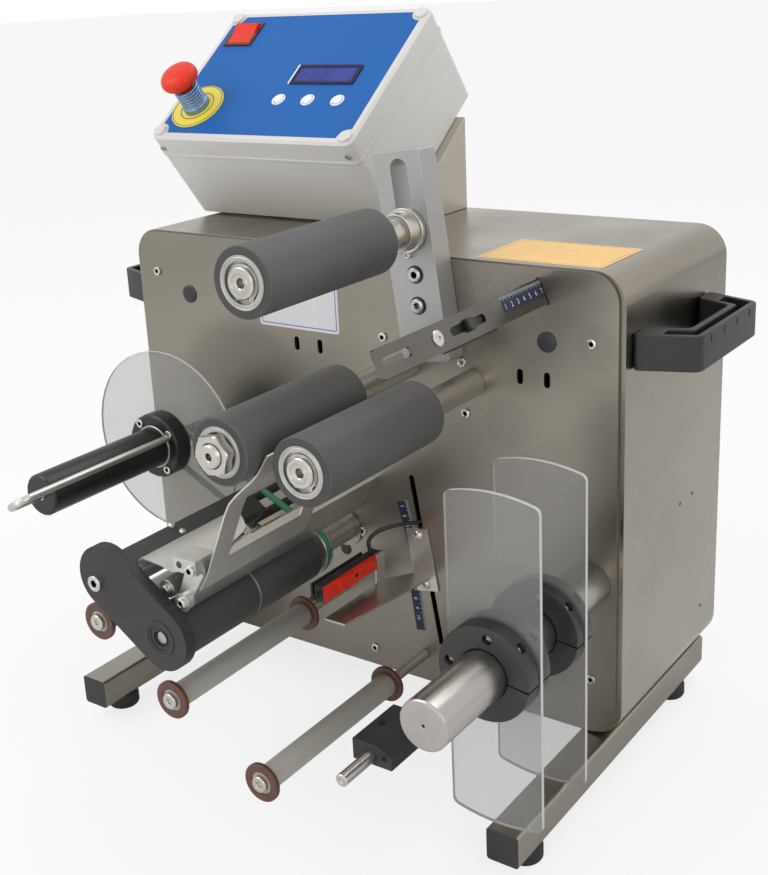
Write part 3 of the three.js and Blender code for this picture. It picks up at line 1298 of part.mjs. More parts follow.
const sensorMid = (sensorLow + sensorHigh) / 2;
const sensorBody = join(
  block(sensorX - sensorWide / 2, sensorX + sensorWide / 2, sensorFront, sensorBack, sensorLow, sensorHigh),
  block(sensorX - sensorWide / 2 - sensorRail * 2, sensorX, sensorFront, sensorBack - sensorNoseLong, sensorLow,
    sensorLow + sensorRail),
  block(sensorX - sensorWide / 2 - sensorRail * 2, sensorX - sensorWide / 2 - sensorRail, sensorFront,
    sensorBack - sensorNoseLong, sensorLow, sensorHigh),
  barY(sensorNose, sensorFront - sensorNoseLong, sensorFront + overrun, smallSides, sensorX, sensorMid));
const waveLong = 58;
const waveTall = 13;
const waveThick = 3.6;
const waveDip = 2.4;
const waveSteps = 10;
const waveBack = tabBack - tabLong - fit;
const wavePoints = [];
for (let i = 0; i <= waveSteps; i += 1) {
  const along = waveBack - waveLong + waveLong * i / waveSteps;
  wavePoints.push([along, sensorHigh - run + waveDip / 2 * Math.cos(Math.PI * 3 * i / waveSteps) - waveDip / 2]);
}
for (let i = waveSteps; i >= 0; i -= 1) {
  const along = waveBack - waveLong + waveLong * i / waveSteps;
  wavePoints.push([along, sensorHigh - waveTall + waveDip / 2 * Math.cos(Math.PI * 3 * i / waveSteps)]);
}
node(machine, 'label_sensor', join(sensorBody, prismX(
  new THREE.Shape(wavePoints.map((p) => new THREE.Vector2(...p))), sensorX, tabX + waveThick)), 'black');

// The sensor's cable: out of the slot, over in a loose loop and down into the sensor's top.
const cableRadius = 2;
const cableSides = 8;
const cableSteps = 26;
const cablePoints = [
  [68, 8, 170], [68, -3, 170], [64, -12, 172], [57.5, -21, 172.2], [49.5, -29, 170.5], [42, -35, 166.5],
  [37.5, -39, 161.5], [36.2, -40.5, 156], [36.8, -40, 151], [37, -40, sensorHigh + fit],
];
const cablePath = new THREE.CatmullRomCurve3(cablePoints.map((p) => new THREE.Vector3(...p)), false, 'centripetal');
const cableSection = new THREE.Shape(Array.from({ length: cableSides }, (_, i) => new THREE.Vector2(
  cableRadius * Math.cos(i * Math.PI * 2 / cableSides), cableRadius * Math.sin(i * Math.PI * 2 / cableSides))));
const cable = node(machine, 'sensor_cable', outwards(weld(new THREE.ExtrudeGeometry(cableSection, {
  steps: cableSteps, extrudePath: cablePath, bevelEnabled: false }))), 'black');

// ================================================================ stop bar along the web's edge
const barFront = -243;
const barTail = 20;
const barRound = 4;
const barSlotHalf = 3.5;
const frontSlot = [-236, -200];
const backSlot = [-147, -96];
const barScrewY = -165;
const barBlockTall = 21;
const barBlockFront = -140;
const barBlockBack = -82;
const barScrewHead = 5.5;
const barScrewHigh = 4;
const barScrewDeep = 6;
const stopBar = groupAt(machine, barMiddle.x, 0, barMiddle.y);
stopBar.rotation.y = -rad(barTilt);
const barShape = roundRect(THREE.Shape, barFront, barTail, -barTall / 2, barTall / 2, barRound);
for (const [from, to] of [frontSlot, backSlot]) {
  barShape.holes.push(slot(THREE.Path, from + barSlotHalf, 0, to - barSlotHalf, 0, barSlotHalf));
}
barShape.holes.push(circle(THREE.Path, barScrewY, 0, barSlotHalf));
node(stopBar, 'stop_bar', prismX(barShape, -barThick / 2, barThick / 2, 4), 'bright');
const blockFace = -barThick / 2 - fit;
const screwY = (backSlot[0] + backSlot[1]) / 2;
const barBlockTop = barBlockTall / 2 - barRodDrop;
const screwFace = barThick / 2 + fit;
// The clamp block, its rod from the plate and the screw through the strip's slot are one piece here.
node(stopBar, 'stop_bar_clamp', join(
  block(blockFace - barBlockThick, blockFace, barBlockFront, barBlockBack, barBlockTop - barBlockTall, barBlockTop),
  turned([[0, barBlockFront + barRodRadius], [barRodRadius, barBlockFront + barRodRadius],
    [barRodRadius, -fit], [rodSpigot, -fit], [rodSpigot, plateThick], [0, plateThick]], midSides)
    .translate(-barRodAway, 0, -barRodDrop),
  barX(barScrewHead, screwFace, screwFace + barScrewHigh, smallSides, screwY, 0),
  barX(barSlotHalf - run, blockFace - barScrewDeep / 2, screwFace + barScrewHigh / 2, smallSides, screwY, 0)),
'aluminium');

// ================================================================ drive inside the housing
const gearHalf = 36;
const gearFront = 20;
const gearLong = 42;
const gearPost = 4;
const motorRadius = 33;
const motorLong = 95;
const gearBack = gearFront + gearLong;
const gearPosts = [[-1, -1], [1, -1], [-1, 1], [1, 1]].map(([i, j]) => barY(
  gearPost, plateThick + fit, gearFront + gearPost, 8, i * (gearHalf - gearPost * 1.5),
  j * (gearHalf - gearPost * 1.5)));
node(pullGroup, 'drive_motor', cut(
  join(block(-gearHalf, gearHalf, gearFront, gearBack, -gearHalf, gearHalf),
    barY(motorRadius, gearBack - overrun, gearBack + motorLong, 24), ...gearPosts),
  barY(spindleRadius + fit, gearFront - overrun, pullTail + fit, midSides)), 'black');
const supplyX = 110;
const supplyWide = 110;
const supplyLong = 130;
const supplyHigh = 45;
const supplyFront = 60;
const floorZ = coverBottom + coverThick + fit;
node(machine, 'power_supply', block(supplyX - supplyWide / 2, supplyX + supplyWide / 2, supplyFront,
  supplyFront + supplyLong, floorZ, floorZ + supplyHigh), 'aluminium');

// ================================================================ origin under the middle, at the feet
machine.remove(cable);
machine.updateMatrixWorld(true);
const bounds = new THREE.Box3().setFromObject(machine, true);
machine.add(cable);
machine.position.set(
  -(bounds.min.x + bounds.max.x) / 2, -(bounds.min.y + bounds.max.y) / 2, -bounds.min.z);
machine.updateMatrixWorld(true);

const labeller = new THREE.Group();
labeller.name = 'labelling_machine';
labeller.add(machine);
export default labeller;
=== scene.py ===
"""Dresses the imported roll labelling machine: finer turned pieces, fasteners, finishes, light and camera."""
import math

import bmesh
import bpy
from bpy.props import FloatProperty, FloatVectorProperty, IntProperty, PointerProperty
from mathutils import Matrix, Vector


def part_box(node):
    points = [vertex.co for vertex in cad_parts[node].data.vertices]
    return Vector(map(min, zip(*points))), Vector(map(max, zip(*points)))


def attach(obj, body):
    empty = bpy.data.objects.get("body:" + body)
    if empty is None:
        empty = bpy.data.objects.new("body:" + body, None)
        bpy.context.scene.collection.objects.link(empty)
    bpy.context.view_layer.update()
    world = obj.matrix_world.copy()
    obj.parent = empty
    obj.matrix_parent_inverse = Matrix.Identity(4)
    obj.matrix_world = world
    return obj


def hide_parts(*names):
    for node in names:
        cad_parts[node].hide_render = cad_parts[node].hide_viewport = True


bl_info = {
    "name": "Roll labelling machine",
    "version": (1, 0, 0),
    "blender": (4, 5, 0),
    "location": "View3D > Sidebar > Labeller",
    "description": "Builds the visible pieces and finishes of a bench labelling machine for round bottles",
    "category": "Object",
}

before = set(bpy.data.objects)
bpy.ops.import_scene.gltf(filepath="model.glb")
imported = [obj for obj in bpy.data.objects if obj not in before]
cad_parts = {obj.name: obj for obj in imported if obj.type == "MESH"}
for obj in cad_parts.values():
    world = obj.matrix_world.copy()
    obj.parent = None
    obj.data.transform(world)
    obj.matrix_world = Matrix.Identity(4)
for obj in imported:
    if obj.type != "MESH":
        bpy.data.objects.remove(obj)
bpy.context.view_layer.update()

MM = 0.001
HOME = Vector((0.0, 12.23, 48.1))      # from the drawing's zero to the floor under the machine, mm
FACE = HOME.y                          # the front plate's face, mm of the scene
ROOT = "frame"
UP = Matrix.Rotation(math.pi / 2, 4, "X")       # a lathe's Y axis onto Z
UPRIGHT = Matrix(((1, 0, 0, 0), (0, 0, -1, 0), (0, 1, 0, 0), (0, 0, 0, 1)))     # a flat sheet stood up, facing front


def at(x, y, z):
    """A place of the part's drawing, in millimetres, as a place in the scene."""
    return (Vector((x, y, z)) + HOME) * MM


# --- finishes
def fed(tree, node, inputs):
    """Each input of the node gets the socket's link or the plain value."""
    for key, value in dict(inputs).items():
        if isinstance(value, bpy.types.NodeSocket):
            tree.links.new(value, node.inputs[key])
        else:
            node.inputs[key].default_value = value
    return node


def add_node(tree, kind, inputs=(), **settings):
    """A new node with its settings and inputs."""
    node = tree.nodes.new(kind)
    for key, value in settings.items():
        setattr(node, key, value)
    return fed(tree, node, inputs)


def any_of(tree, *sockets):
    """1 where one of the sockets is 1."""
    out = sockets[0]
    for other in sockets[1:]:
        out = add_node(tree, "ShaderNodeMath", {0: out, 1: other}, operation="MAXIMUM").outputs[0]
    return out


def shader_of(mat):
    return mat.node_tree.nodes["Principled BSDF"]


def plug(mat, value, socket):
    mat.node_tree.links.new(value, shader_of(mat).inputs[socket])


def new_surface(name, colour, metal=0.0, rough=0.5, **sockets):
    """A material with one Principled shader; colour is linear."""
    mat = bpy.data.materials.new(name)
    mat.use_nodes = True
    mat.diffuse_color = (*colour, 1.0)
    more = {key.replace("_", " "): value for key, value in sockets.items()}
    fed(mat.node_tree, shader_of(mat), {"Base Color": (*colour, 1.0), "Metallic": metal, "Roughness": rough, **more})
    return mat


def noise(mat, scale, detail=3.0, size=1.0, seed=(0.0, 0.0, 0.0)):
    """Noise on Object coordinates; scale is one number, or one for each of X, Y and Z."""
    tree = mat.node_tree
    where = add_node(tree, "ShaderNodeTexCoord").outputs["Object"]
    scale = scale if isinstance(scale, tuple) else (scale,) * 3
    stretch = add_node(tree, "ShaderNodeMapping", {"Vector": where, "Scale": scale, "Location": seed})
    return add_node(tree, "ShaderNodeTexNoise", {"Vector": stretch.outputs["Vector"], "Scale": size,
                                                 "Detail": detail}).outputs["Fac"]


def ranged(mat, value, low, high, start=0.3, stop=0.7):
    """value between start and stop mapped onto low to high."""
    return add_node(mat.node_tree, "ShaderNodeMapRange", {
        "Value": value, "From Min": start, "From Max": stop, "To Min": low, "To Max": high}).outputs["Result"]


def blended(mat, fac, first, second, mode="MIX"):
    """first and second (colours or sockets) mixed by fac."""
    first, second = (v if isinstance(v, bpy.types.NodeSocket) else (*v, 1.0) for v in (first, second))
    return add_node(mat.node_tree, "ShaderNodeMix", {0: fac, 6: first, 7: second}, data_type="RGBA",
                    blend_type=mode).outputs[2]


def roughened(mat, height, strength, depth):
    """Drives the shader's normal from a height, depth in metres."""
    bump = add_node(mat.node_tree, "ShaderNodeBump", {"Height": height, "Strength": strength, "Distance": depth})
    plug(mat, bump.outputs["Normal"], "Normal")


def toned(colour, share):
    return tuple(c * share for c in colour)


def worn(name, colour, metal, rough, spread=0.1, cloud=9, fine=900, rough_spread=0.06, depth=0.00002, strength=0.25,
         **sockets):
    """The common finish: slow clouds of tone, a fine grain in roughness and relief."""
    mat = new_surface(name, colour, metal, rough, **sockets)
    clouds, grain = noise(mat, cloud, 4.0), noise(mat, fine, 3.0, seed=(3.1, 1.7, 5.3))
    dark = toned(colour, 1 - spread)
    tone = blended(mat, ranged(mat, clouds, 0.0, 1.0), dark, toned(colour, 1 + spread))
    plug(mat, blended(mat, ranged(mat, grain, 0.0, 0.5), tone, dark), "Base Color")
    plug(mat, ranged(mat, grain, max(rough - rough_spread, 0.02), rough + rough_spread), "Roughness")
    roughened(mat, grain, strength, depth)
    return mat


def brushed(name, colour, rough, fine, spread=0.1, cloud=5):
    """Brushed sheet: long streaks, and cloudy handling marks that also change the gloss."""
    mat = worn(name, colour, 1.0, rough, spread, cloud, fine, 0.07, 0.00001, 0.2)
    marks = noise(mat, cloud, 5.0, 2.3, (7.7, 2.1, 4.4))
    plug(mat, ranged(mat, marks, rough - 0.06, rough + 0.1), "Roughness")
    return mat


def tinted(mat, share, colour):
    """The base colour is multiplied by colour where share is 1."""
    before = shader_of(mat).inputs["Base Color"].links[0].from_socket
    plug(mat, blended(mat, share, before, blended(mat, 1.0, before, colour, "MULTIPLY")), "Base Color")


def marked(mat, centre, radius, share):
    """A faint round mark: the base colour within radius (metres) of a place is dimmed."""
    where = add_node(mat.node_tree, "ShaderNodeTexCoord").outputs["Object"]
    far = add_node(mat.node_tree, "ShaderNodeVectorMath", {0: where, 1: centre}, operation="DISTANCE")
    tinted(mat, ranged(mat, far.outputs["Value"], 1.0, 0.0, radius * 0.94, radius), (share,) * 3)


FINISHES = {}
MARKS = ((251.6, 362.4, 21), (166.1, 282.9, 23), (138.9, 415.6, 14))       # x, z and radius on the front plate, mm


def make_finishes(looks):
    f = FINISHES
    steel, box, film, rubber = (tuple(c) for c in (looks.plate_colour, looks.box_colour, looks.film_colour,
                                                   looks.rubber_colour))
    for key, *values in (
            ("plate", "brushed_front_plate", steel, 0.33, (14, 14, 1500), 0.13, (4, 4, 6)),
            ("cover", "brushed_cover", toned(steel, 1.3), 0.27, (10, 14, 1500), 0.14, (5, 4, 5)),
            ("back", "brushed_back_panel", toned(steel, 1.1), 0.36, (14, 14, 1500), 0.1),
            ("bracket", "brushed_bracket", toned(steel, 1.75), 0.4, (14, 14, 1500), 0.08),
            ("leg", "brushed_square_tube", toned(steel, 1.08), 0.34, (1500, 10, 1500), 0.12)):
        f[key] = brushed(*values)
    for x, z, radius in MARKS:
        marked(f["plate"], at(x, 0, z), radius * MM, 0.93)
    # Painted shade: the cover's colour darkens between 0.15 m and 0.42 m of height, standing in for how light falls on
    # its sides.
    where = add_node(f["cover"].node_tree, "ShaderNodeTexCoord").outputs["Object"]
    height = add_node(f["cover"].node_tree, "ShaderNodeSeparateXYZ", {0: where}).outputs["Z"]
    tinted(f["cover"], ranged(f["cover"], height, 0.0, 1.0, 0.15, 0.42), (0.76, 0.74, 0.72))

    smooth_metal = (0.000001, 0.02)
    along = ((16, 7, 16), (1400, 500, 1400), 0.08, 0.00005, 0.5)
    for key, *values in (
            # key, material, colour, metallic, roughness, spread of tone, clouds, grain, spread of roughness, relief
            ("cap", "end_cap_plastic", (0.02, 0.02, 0.021), 0.0, 0.5, 0.2, 9, 2500),
            ("foot", "foot_rubber_finish", (0.012,) * 3, 0.0, 0.6, 0.25, 9, 2000),
            ("handle", "handle_moulding", (0.017, 0.017, 0.018), 0.0, 0.48, 0.2, 14, 2600, 0.06, 0.00006, 0.5),
            ("abs", "grey_box_moulding", box, 0.0, 0.42, 0.025, 8, 2400, 0.05, 0.00004, 0.35),
            ("film", "blue_front_film", film, 0.0, 0.45, 0.05, 9, 3000, 0.04, 0.00002, 0.3,
             {"Specular_IOR_Level": 0.12}),
            ("lcd_frame", "display_frame_print", (0.012, 0.012, 0.035), 0.0, 0.4, 0.05, {"Specular_IOR_Level": 0.2}),
            ("navy", "navy_scale_print", (0.018, 0.026, 0.052), 0.0, 0.4, 0.1, 60, {"Specular_IOR_Level": 0.3}),
            ("red_frame", "dark_red_frame", (0.10, 0.008, 0.008), 0.0, 0.4, 0.1, 60),
            ("white", "white_print", (0.80, 0.82, 0.84), 0.0, 0.42, 0.03),
            ("red", "red_moulding", (0.74, 0.036, 0.014), 0.0, 0.36, 0.08, 20, 1800, 0.06, 0.00002, 0.2,
             {"Specular_IOR_Level": 0.25}),
            ("bushing", "bushing_anodised", (0.20, 0.32, 0.46), 0.75, 0.3, 0.1, 60),
            ("yellow", "yellow_plate_print", (0.80, 0.66, 0.07), 0.0, 0.4, 0.06, 25),
            ("column", "blasted_aluminium", (0.41, 0.41, 0.405), 0.72, 0.42, 0.09, 12, 1800, 0.06, 0.00003, 0.35),
            ("dark_rubber", "pull_roller_rubber", toned(rubber, 0.5), 0.0, 0.55, 0.2, *along),
            ("rubber", "ground_rubber", rubber, 0.0, 0.62, 0.22, *along),
            ("core", "turned_core_metal", (0.46, 0.45, 0.43), 0.9, 0.36, 0.14, 70, (900, 2600, 900)),
            ("shaft", "ground_shaft_steel", (0.55, 0.53, 0.49), 1.0, 0.3, 0.04, (22, 9, 22), (60, 8, 60), 0.03,
             *smooth_metal),
            ("alu_bar", "turned_aluminium_bar", (0.45, 0.43, 0.405), 1.0, 0.29, 0.05, (60, 4, 60), (90, 4, 90), 0.04,
             *smooth_metal),
            ("bright", "bright_sheet", (0.56, 0.54, 0.505), 1.0, 0.33, 0.05, 14, (60, 8, 60), 0.04, *smooth_metal),
            ("satin", "satin_sheet", (0.60, 0.585, 0.555), 0.85, 0.42, 0.1, 16, (1300, 50, 1300), 0.07, 0.00001, 0.3),
            ("knurl", "knurled_nip_metal", (0.66, 0.65, 0.62), 0.9, 0.38, 0.1, 40),
            ("bar", "stop_bar_steel", (0.15, 0.14, 0.127), 1.0, 0.22, 0.12, (16, 10, 16), (1500, 20, 1500)),
            ("milled", "milled_aluminium", (0.60, 0.60, 0.58), 0.95, 0.34, 0.09, 30, (700, 90, 700)),
            ("black", "black_anodised", (0.042, 0.040, 0.038), 0.35, 0.42, 0.25, 18, 1900, 0.08, 0.00002, 0.3),
            ("mandrel", "black_turned", (0.022,) * 3, 0.3, 0.33, 0.3, (14, 6, 14), (500, 2600, 500), 0.09, 0.00002,
             0.4),
            ("side_plate", "black_side_plate", (0.034,) * 3, 0.25, 0.5, 0.2, 24),
            ("screw", "bright_screw_steel", (0.62, 0.60, 0.56), 1.0, 0.24, 0.12, 300, 2600),
            ("dark_screw", "black_screw_steel", (0.02, 0.02, 0.021), 0.5, 0.4, 0.2, 300),
            ("plug", "black_hole_plug", (0.022, 0.022, 0.023), 0.0, 0.45, 0.15, 60),
            ("belt", "green_belt", (0.018, 0.17, 0.075), 0.0, 0.42, 0.15, 30, 1500),
            ("tube", "grey_guide_tube", (0.40, 0.385, 0.35), 0.0, 0.42, 0.08, (22, 7, 22), (1700, 300, 1700), 0.07,
             0.00003, 0.3),
            ("ring", "brown_guide_ring", (0.105, 0.042, 0.026), 0.0, 0.45, 0.2, 80),
            ("sensor", "black_sensor_case", (0.017, 0.017, 0.018), 0.0, 0.4, 0.2, 40),
            ("cable", "black_cable_sheath", (0.012,) * 3, 0.0, 0.5, 0.2, 60),
            ("board", "green_board", (0.012, 0.11, 0.04), 0.0, 0.4, 0.15, 60),
            ("motor", "motor_lacquer", (0.02, 0.02, 0.022), 0.2, 0.4, 0.2, 30),
            ("supply", "pressed_supply_case", (0.45, 0.45, 0.44), 0.9, 0.4, 0.1, 20),
            ("amber", "amber_film", (0.82, 0.50, 0.13), 0.0, 0.4, 0.06, 30, 2400),
            ("amber_edge", "amber_film_print", (0.62, 0.33, 0.06), 0.0, 0.4, 0.06, 30),
            ("paper", "white_label_print", (0.66, 0.66, 0.68), 0.0, 0.4, 0.04, 30, 2400),
            ("ink_blue", "blue_line_print", (0.12, 0.13, 0.42), 0.0, 0.45, 0.1, 90),
            ("ink", "black_print", (0.02, 0.022, 0.03), 0.0, 0.45, 0.1, 90),
            # Sawn acrylic edge: its pale grey is the frosted edge's own colour, and its small emission is a painted
            # glow of light carried through the clear sheet.
            ("acrylic_edge", "sawn_acrylic_edge", (0.50, 0.49, 0.49), 0.0, 0.45, 0.05, 60, 1500,
             {"Emission_Color": (0.75, 0.73, 0.71, 1.0), "Emission_Strength": 0.04})):
        sockets = values.pop() if isinstance(values[-1], dict) else {}
        f[key] = worn(*values, **sockets)
    # Painted shade: a near-black finish for flat shapes that stand in for the shaded inside of holes, slots and vents.
    f["hole"] = new_surface("painted_hole_shade", (0.004,) * 3, 0.0, 0.9)
    f["lcd"] = new_surface("display_glass_finish", (0.03, 0.04, 0.24), 0.0, 0.3, Specular_IOR_Level=0.2)
    lit = ranged(f["lcd"], noise(f["lcd"], (40, 6, 6), 2.0), 0, 1)
    plug(f["lcd"], blended(f["lcd"], lit, (0.024, 0.03, 0.19), (0.045, 0.055, 0.30)), "Base Color")
    f["acrylic"] = new_surface("clear_acrylic_sheet", (0.68, 0.68, 0.675), 0.0, 0.03, Transmission_Weight=0.86,
                               IOR=1.12)
    plug(f["acrylic"], ranged(f["acrylic"], noise(f["acrylic"], 18, 4.0), 0.0, 0.09, 0.45, 0.8), "Roughness")


# --- building blocks
def linked(name, data):
    obj = bpy.data.objects.new(name, data)
    bpy.context.scene.collection.objects.link(obj)
    return obj


def as_object(name, mesh, materials):
    obj = linked(name, mesh)
    for mat in [materials] if isinstance(materials, str) else materials:
        mesh.materials.append(FINISHES[mat])
    return obj


def placed(obj, stands_for=(), body=ROOT):
    """Hands a finished piece to the frame."""
    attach(obj, body)
    if stands_for:
        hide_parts(stands_for)
    return obj


def baked(obj, *helpers):
    """The object's mesh after its modifiers; the object and its helpers go."""
    mesh = bpy.data.meshes.new_from_object(obj.evaluated_get(bpy.context.evaluated_depsgraph_get()))
    for extra in (obj, *helpers):
        bpy.data.objects.remove(extra)
    return mesh


def smooth(mesh, degrees=32):
    mesh.shade_smooth()
    mesh.set_sharp_from_angle(angle=math.radians(degrees))
    return mesh


def plain_mesh(name, bm):
    mesh = bpy.data.meshes.new(name)
    bm.to_mesh(mesh)
    bm.free()
    return mesh


def from_bmesh(name, bm, degrees=32):
    bmesh.ops.recalc_face_normals(bm, faces=bm.faces)
    return smooth(plain_mesh(name, bm), degrees)


def piece(name, bm, mats, stands_for=(), body=ROOT, degrees=32):
    return placed(as_object(name, from_bmesh(name, bm, degrees), mats), stands_for, body)


def softened(pairs, amount, steps=2):
    """The outline with each corner between two long runs cut by a small arc."""
    out = [pairs[0]]
    for before, here, after in zip(pairs, pairs[1:], pairs[2:]):
        a, p, b = Vector(before), Vector(here), Vector(after)
        reach = min(amount, (a - p).length * 0.45, (b - p).length * 0.45)
        turn = (p - a).angle(b - p, 0.0) if (p - a).length > 0 and (b - p).length > 0 else 0.0
        if reach < 1e-6 or turn < 0.5:
            out.append(here)
            continue
        first, last = p + (a - p).normalized() * reach, p + (b - p).normalized() * reach
        for i in range(steps + 1):
            t = i / steps
            q = first * (1 - t) ** 2 + p * 2 * t * (1 - t) + last * t ** 2
            out.append((q.x, q.y))
    out.append(pairs[-1])
    return out


def run(y, *pairs):
    """[radius, y] pairs from pairs whose second number is counted from y."""
    return [[r, y + d] for r, d in pairs]


def mirrored(y0, y1, *pairs):
    """Pairs counted inward from y0, then the same back to y1."""
    return run(y0, *pairs) + [[r, y1 - d] for r, d in pairs[::-1]]


def bridged(bm, rings, closed=False, index=0):
    """Faces between neighbouring rings of vertices; a ring of one vertex is a point."""
    for a, b in zip(rings, rings[1:] + rings[:closed]):
        count = max(len(a), len(b))
        for k in range(count):
            j = (k + 1) % count
            corners = dict.fromkeys((a[k % len(a)], a[j % len(a)], b[j % len(b)], b[k % len(b)]))
            bm.faces.new(list(corners)).material_index = index


def lathe(bm, pairs, x, z, sides=72, soft=0.3, index=0):
    """Turns [radius, y] pairs in mm of the scene's frame about the Y axis through x, z into bm."""
    rings = []
    for radius, y in softened(pairs, soft):
        angles = [k * math.tau / sides for k in range(sides)] if radius >= 1e-6 else [0.0]
        rings.append([bm.verts.new(((x + radius * math.cos(t)) * MM, y * MM, (z + radius * math.sin(t)) * MM))
                      for t in angles])
    bridged(bm, rings, pairs[0][0] > 1e-6 and pairs[-1][0] > 1e-6, index)


def turned(name, axis, parts, mats, stands_for=(), body=ROOT):
    """A piece turned about the Y axis through axis (x, z mm); parts are (pairs, sides, soft, index)."""
    bm = bmesh.new()
    for pairs, *how in parts:
        lathe(bm, pairs, *axis, *how)
    return piece(name, bm, mats, stands_for, body)


def lathe_at(bm, pairs, matrix, sides=48, soft=0.3, index=0):
    """A lathe whose axis is the matrix's Z; heights and radii in mm."""
    before = set(bm.verts)
    lathe(bm, pairs, 0, 0, sides, soft, index)
    bmesh.ops.transform(bm, matrix=matrix @ UP, verts=[v for v in bm.verts if v not in before])


def ring_segment(bm, pairs, x, z, start, stop, steps):
    """A closed outline of (radius, y) in mm carried round the Y axis between two angles, with flat ends."""
    rows = []
    for k in range(steps + 1):
        t = math.radians(start + (stop - start) * k / steps)
        rows.append([bm.verts.new(((x + r * math.cos(t)) * MM, y * MM, (z + r * math.sin(t)) * MM))
                     for r, y in pairs])
    bridged(bm, rows)
    bm.faces.new(rows[0])
    bm.faces.new(rows[-1][::-1])


def row_of(bm, outline, height):
    return [bm.verts.new((x * MM, y * MM, height * MM)) for x, y in outline]


def slab(bm, outline, low, high, matrix=Matrix(), index=0):
    """A flat plate from an outline of (x, y) in mm, between two heights, moved by matrix (metres)."""
    rows = [row_of(bm, outline, height) for height in (low, high)]
    for cap in (rows[0][::-1], rows[1]):
        bm.faces.new(cap).material_index = index
    bridged(bm, rows, False, index)
    bmesh.ops.transform(bm, matrix=matrix, verts=rows[0] + rows[1])


def band(bm, outer, inner, low, high, matrix=Matrix(), index=0):
    """A flat frame between two outlines with the same number of points."""
    rows = [row_of(bm, *each) for each in ((outer, low), (outer, high), (inner, high), (inner, low))]
    bridged(bm, rows, True, index)
    bmesh.ops.transform(bm, matrix=matrix, verts=sum(rows, []))


def flat_mesh(name, outline, low, high, inner=None):
    """A slab, or with an inner outline a band, as a mesh for repeated()."""
    bm = bmesh.new()
    if inner:
        band(bm, outline, inner, low, high)
    else:
        slab(bm, outline, low, high)
    return from_bmesh(name, bm)


def polar(x, y, r, degrees):
    t = math.radians(degrees)
    return x + r * math.cos(t), y + r * math.sin(t)


def arc(x, y, r, start, turn, steps):
    """Points in mm round (x, y), from start through turn degrees."""
    return [polar(x, y, r, start + turn * i / steps) for i in range(steps + 1)]


def rounded(x0, x1, y0, y1, r):
    """A rectangle's outline with round corners."""
    return (arc(x1 - r, y1 - r, r, 0, 90, 6) + arc(x0 + r, y1 - r, r, 90, 90, 6)
            + arc(x0 + r, y0 + r, r, 180, 90, 6) + arc(x1 - r, y0 + r, r, 270, 90, 6))


def disc(x, y, r, steps=40):
    return [(x + r * math.cos(i * math.tau / steps), y + r * math.sin(i * math.tau / steps)) for i in range(steps)]


def pipe(bm, points, radius, sides):
    """A round section carried along points in metres, with closed ends."""
    rings, side = [], None
    for before, p, after in zip(points[:1] + points, points, points[1:] + points[-1:]):
        along = (after - before).normalized()
        side = side or along.orthogonal().normalized()
        side = (side - along * side.dot(along)).normalized()
        other = along.cross(side)
        rings.append([bm.verts.new(p + side * radius * math.cos(k * math.tau / sides)
                                   + other * radius * math.sin(k * math.tau / sides)) for k in range(sides)])
    bridged(bm, rings)
    bm.faces.new(rings[0][::-1])
    bm.faces.new(rings[-1])


def smooth_line(points, step):
    """More points on a soft curve through the given ones."""
    out = []
    for p0, p1, p2, p3 in zip(points[:1] + points, points, points[1:], points[2:] + points[-1:]):
        for t in (k / step for k in range(step)):
            out.append(0.5 * ((2 * p1) + (p2 - p0) * t + (2 * p0 - 5 * p1 + 4 * p2 - p3) * t * t
                              + (3 * p1 - p0 - 3 * p2 + p3) * t ** 3))
    return out + [points[-1]]


def drilled(mesh, places, radius, deep):
    """The mesh with round blind holes at places (position m, outward direction)."""
    bm = bmesh.new()
    for where, outward in places:
        lathe_at(bm, [[0, -deep], [radius, -deep], [radius, 4], [0, 4]], axis_matrix(where, outward), 24, 0.0)
    tool, work = linked("drill", from_bmesh("drill", bm)), linked("drilled", mesh)
    mod = work.modifiers.new("holes", "BOOLEAN")
    mod.object, mod.operation, mod.solver = tool, "DIFFERENCE", "EXACT"
    return smooth(baked(work, tool))


def node_axis(node):
    """Axis (x, z), front y, back y and radius in mm of a node that is turned about the Y axis."""
    low, high = ([v / MM for v in corner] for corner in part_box(node))
    return ((low[0] + high[0]) / 2, (low[2] + high[2]) / 2), low[1], high[1], (high[0] - low[0]) / 2


def refined(node, mats, ease=0.4, body=ROOT, choose=None, angle=34, segments=2):
    """The CAD node's mesh, merged, with round edges of ease mm; choose(centre, normal) gives a face's finish."""
    bm = bmesh.new()
    bm.from_mesh(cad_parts[node].data)
    bmesh.ops.remove_doubles(bm, verts=bm.verts, dist=1e-6)
    bmesh.ops.dissolve_limit(bm, angle_limit=math.radians(0.8), verts=bm.verts, edges=bm.edges)
    for face in bm.faces:
        face.material_index = int(choose(face.calc_center_median(), face.normal)) if choose else 0
    name = node + "_dressed"
    obj = as_object(name, smooth(plain_mesh(name, bm), angle), mats)
    if ease:
        mod = obj.modifiers.new("soft_edges", "BEVEL")
        mod.width, mod.segments = ease * MM, segments
        mod.limit_method, mod.angle_limit = "ANGLE", math.radians(angle)
        mod.use_clamp_overlap = mod.harden_normals = True
    return placed(obj, node, body)


def axis_matrix(origin, toward, spin=0.0):
    """Turns +Z to a direction, spins about it and moves to the origin."""
    turn = Vector(toward).normalized().to_track_quat("Z", "Y").to_matrix().to_4x4()
    return Matrix.Translation(origin) @ turn @ Matrix.Rotation(spin, 4, "Z")


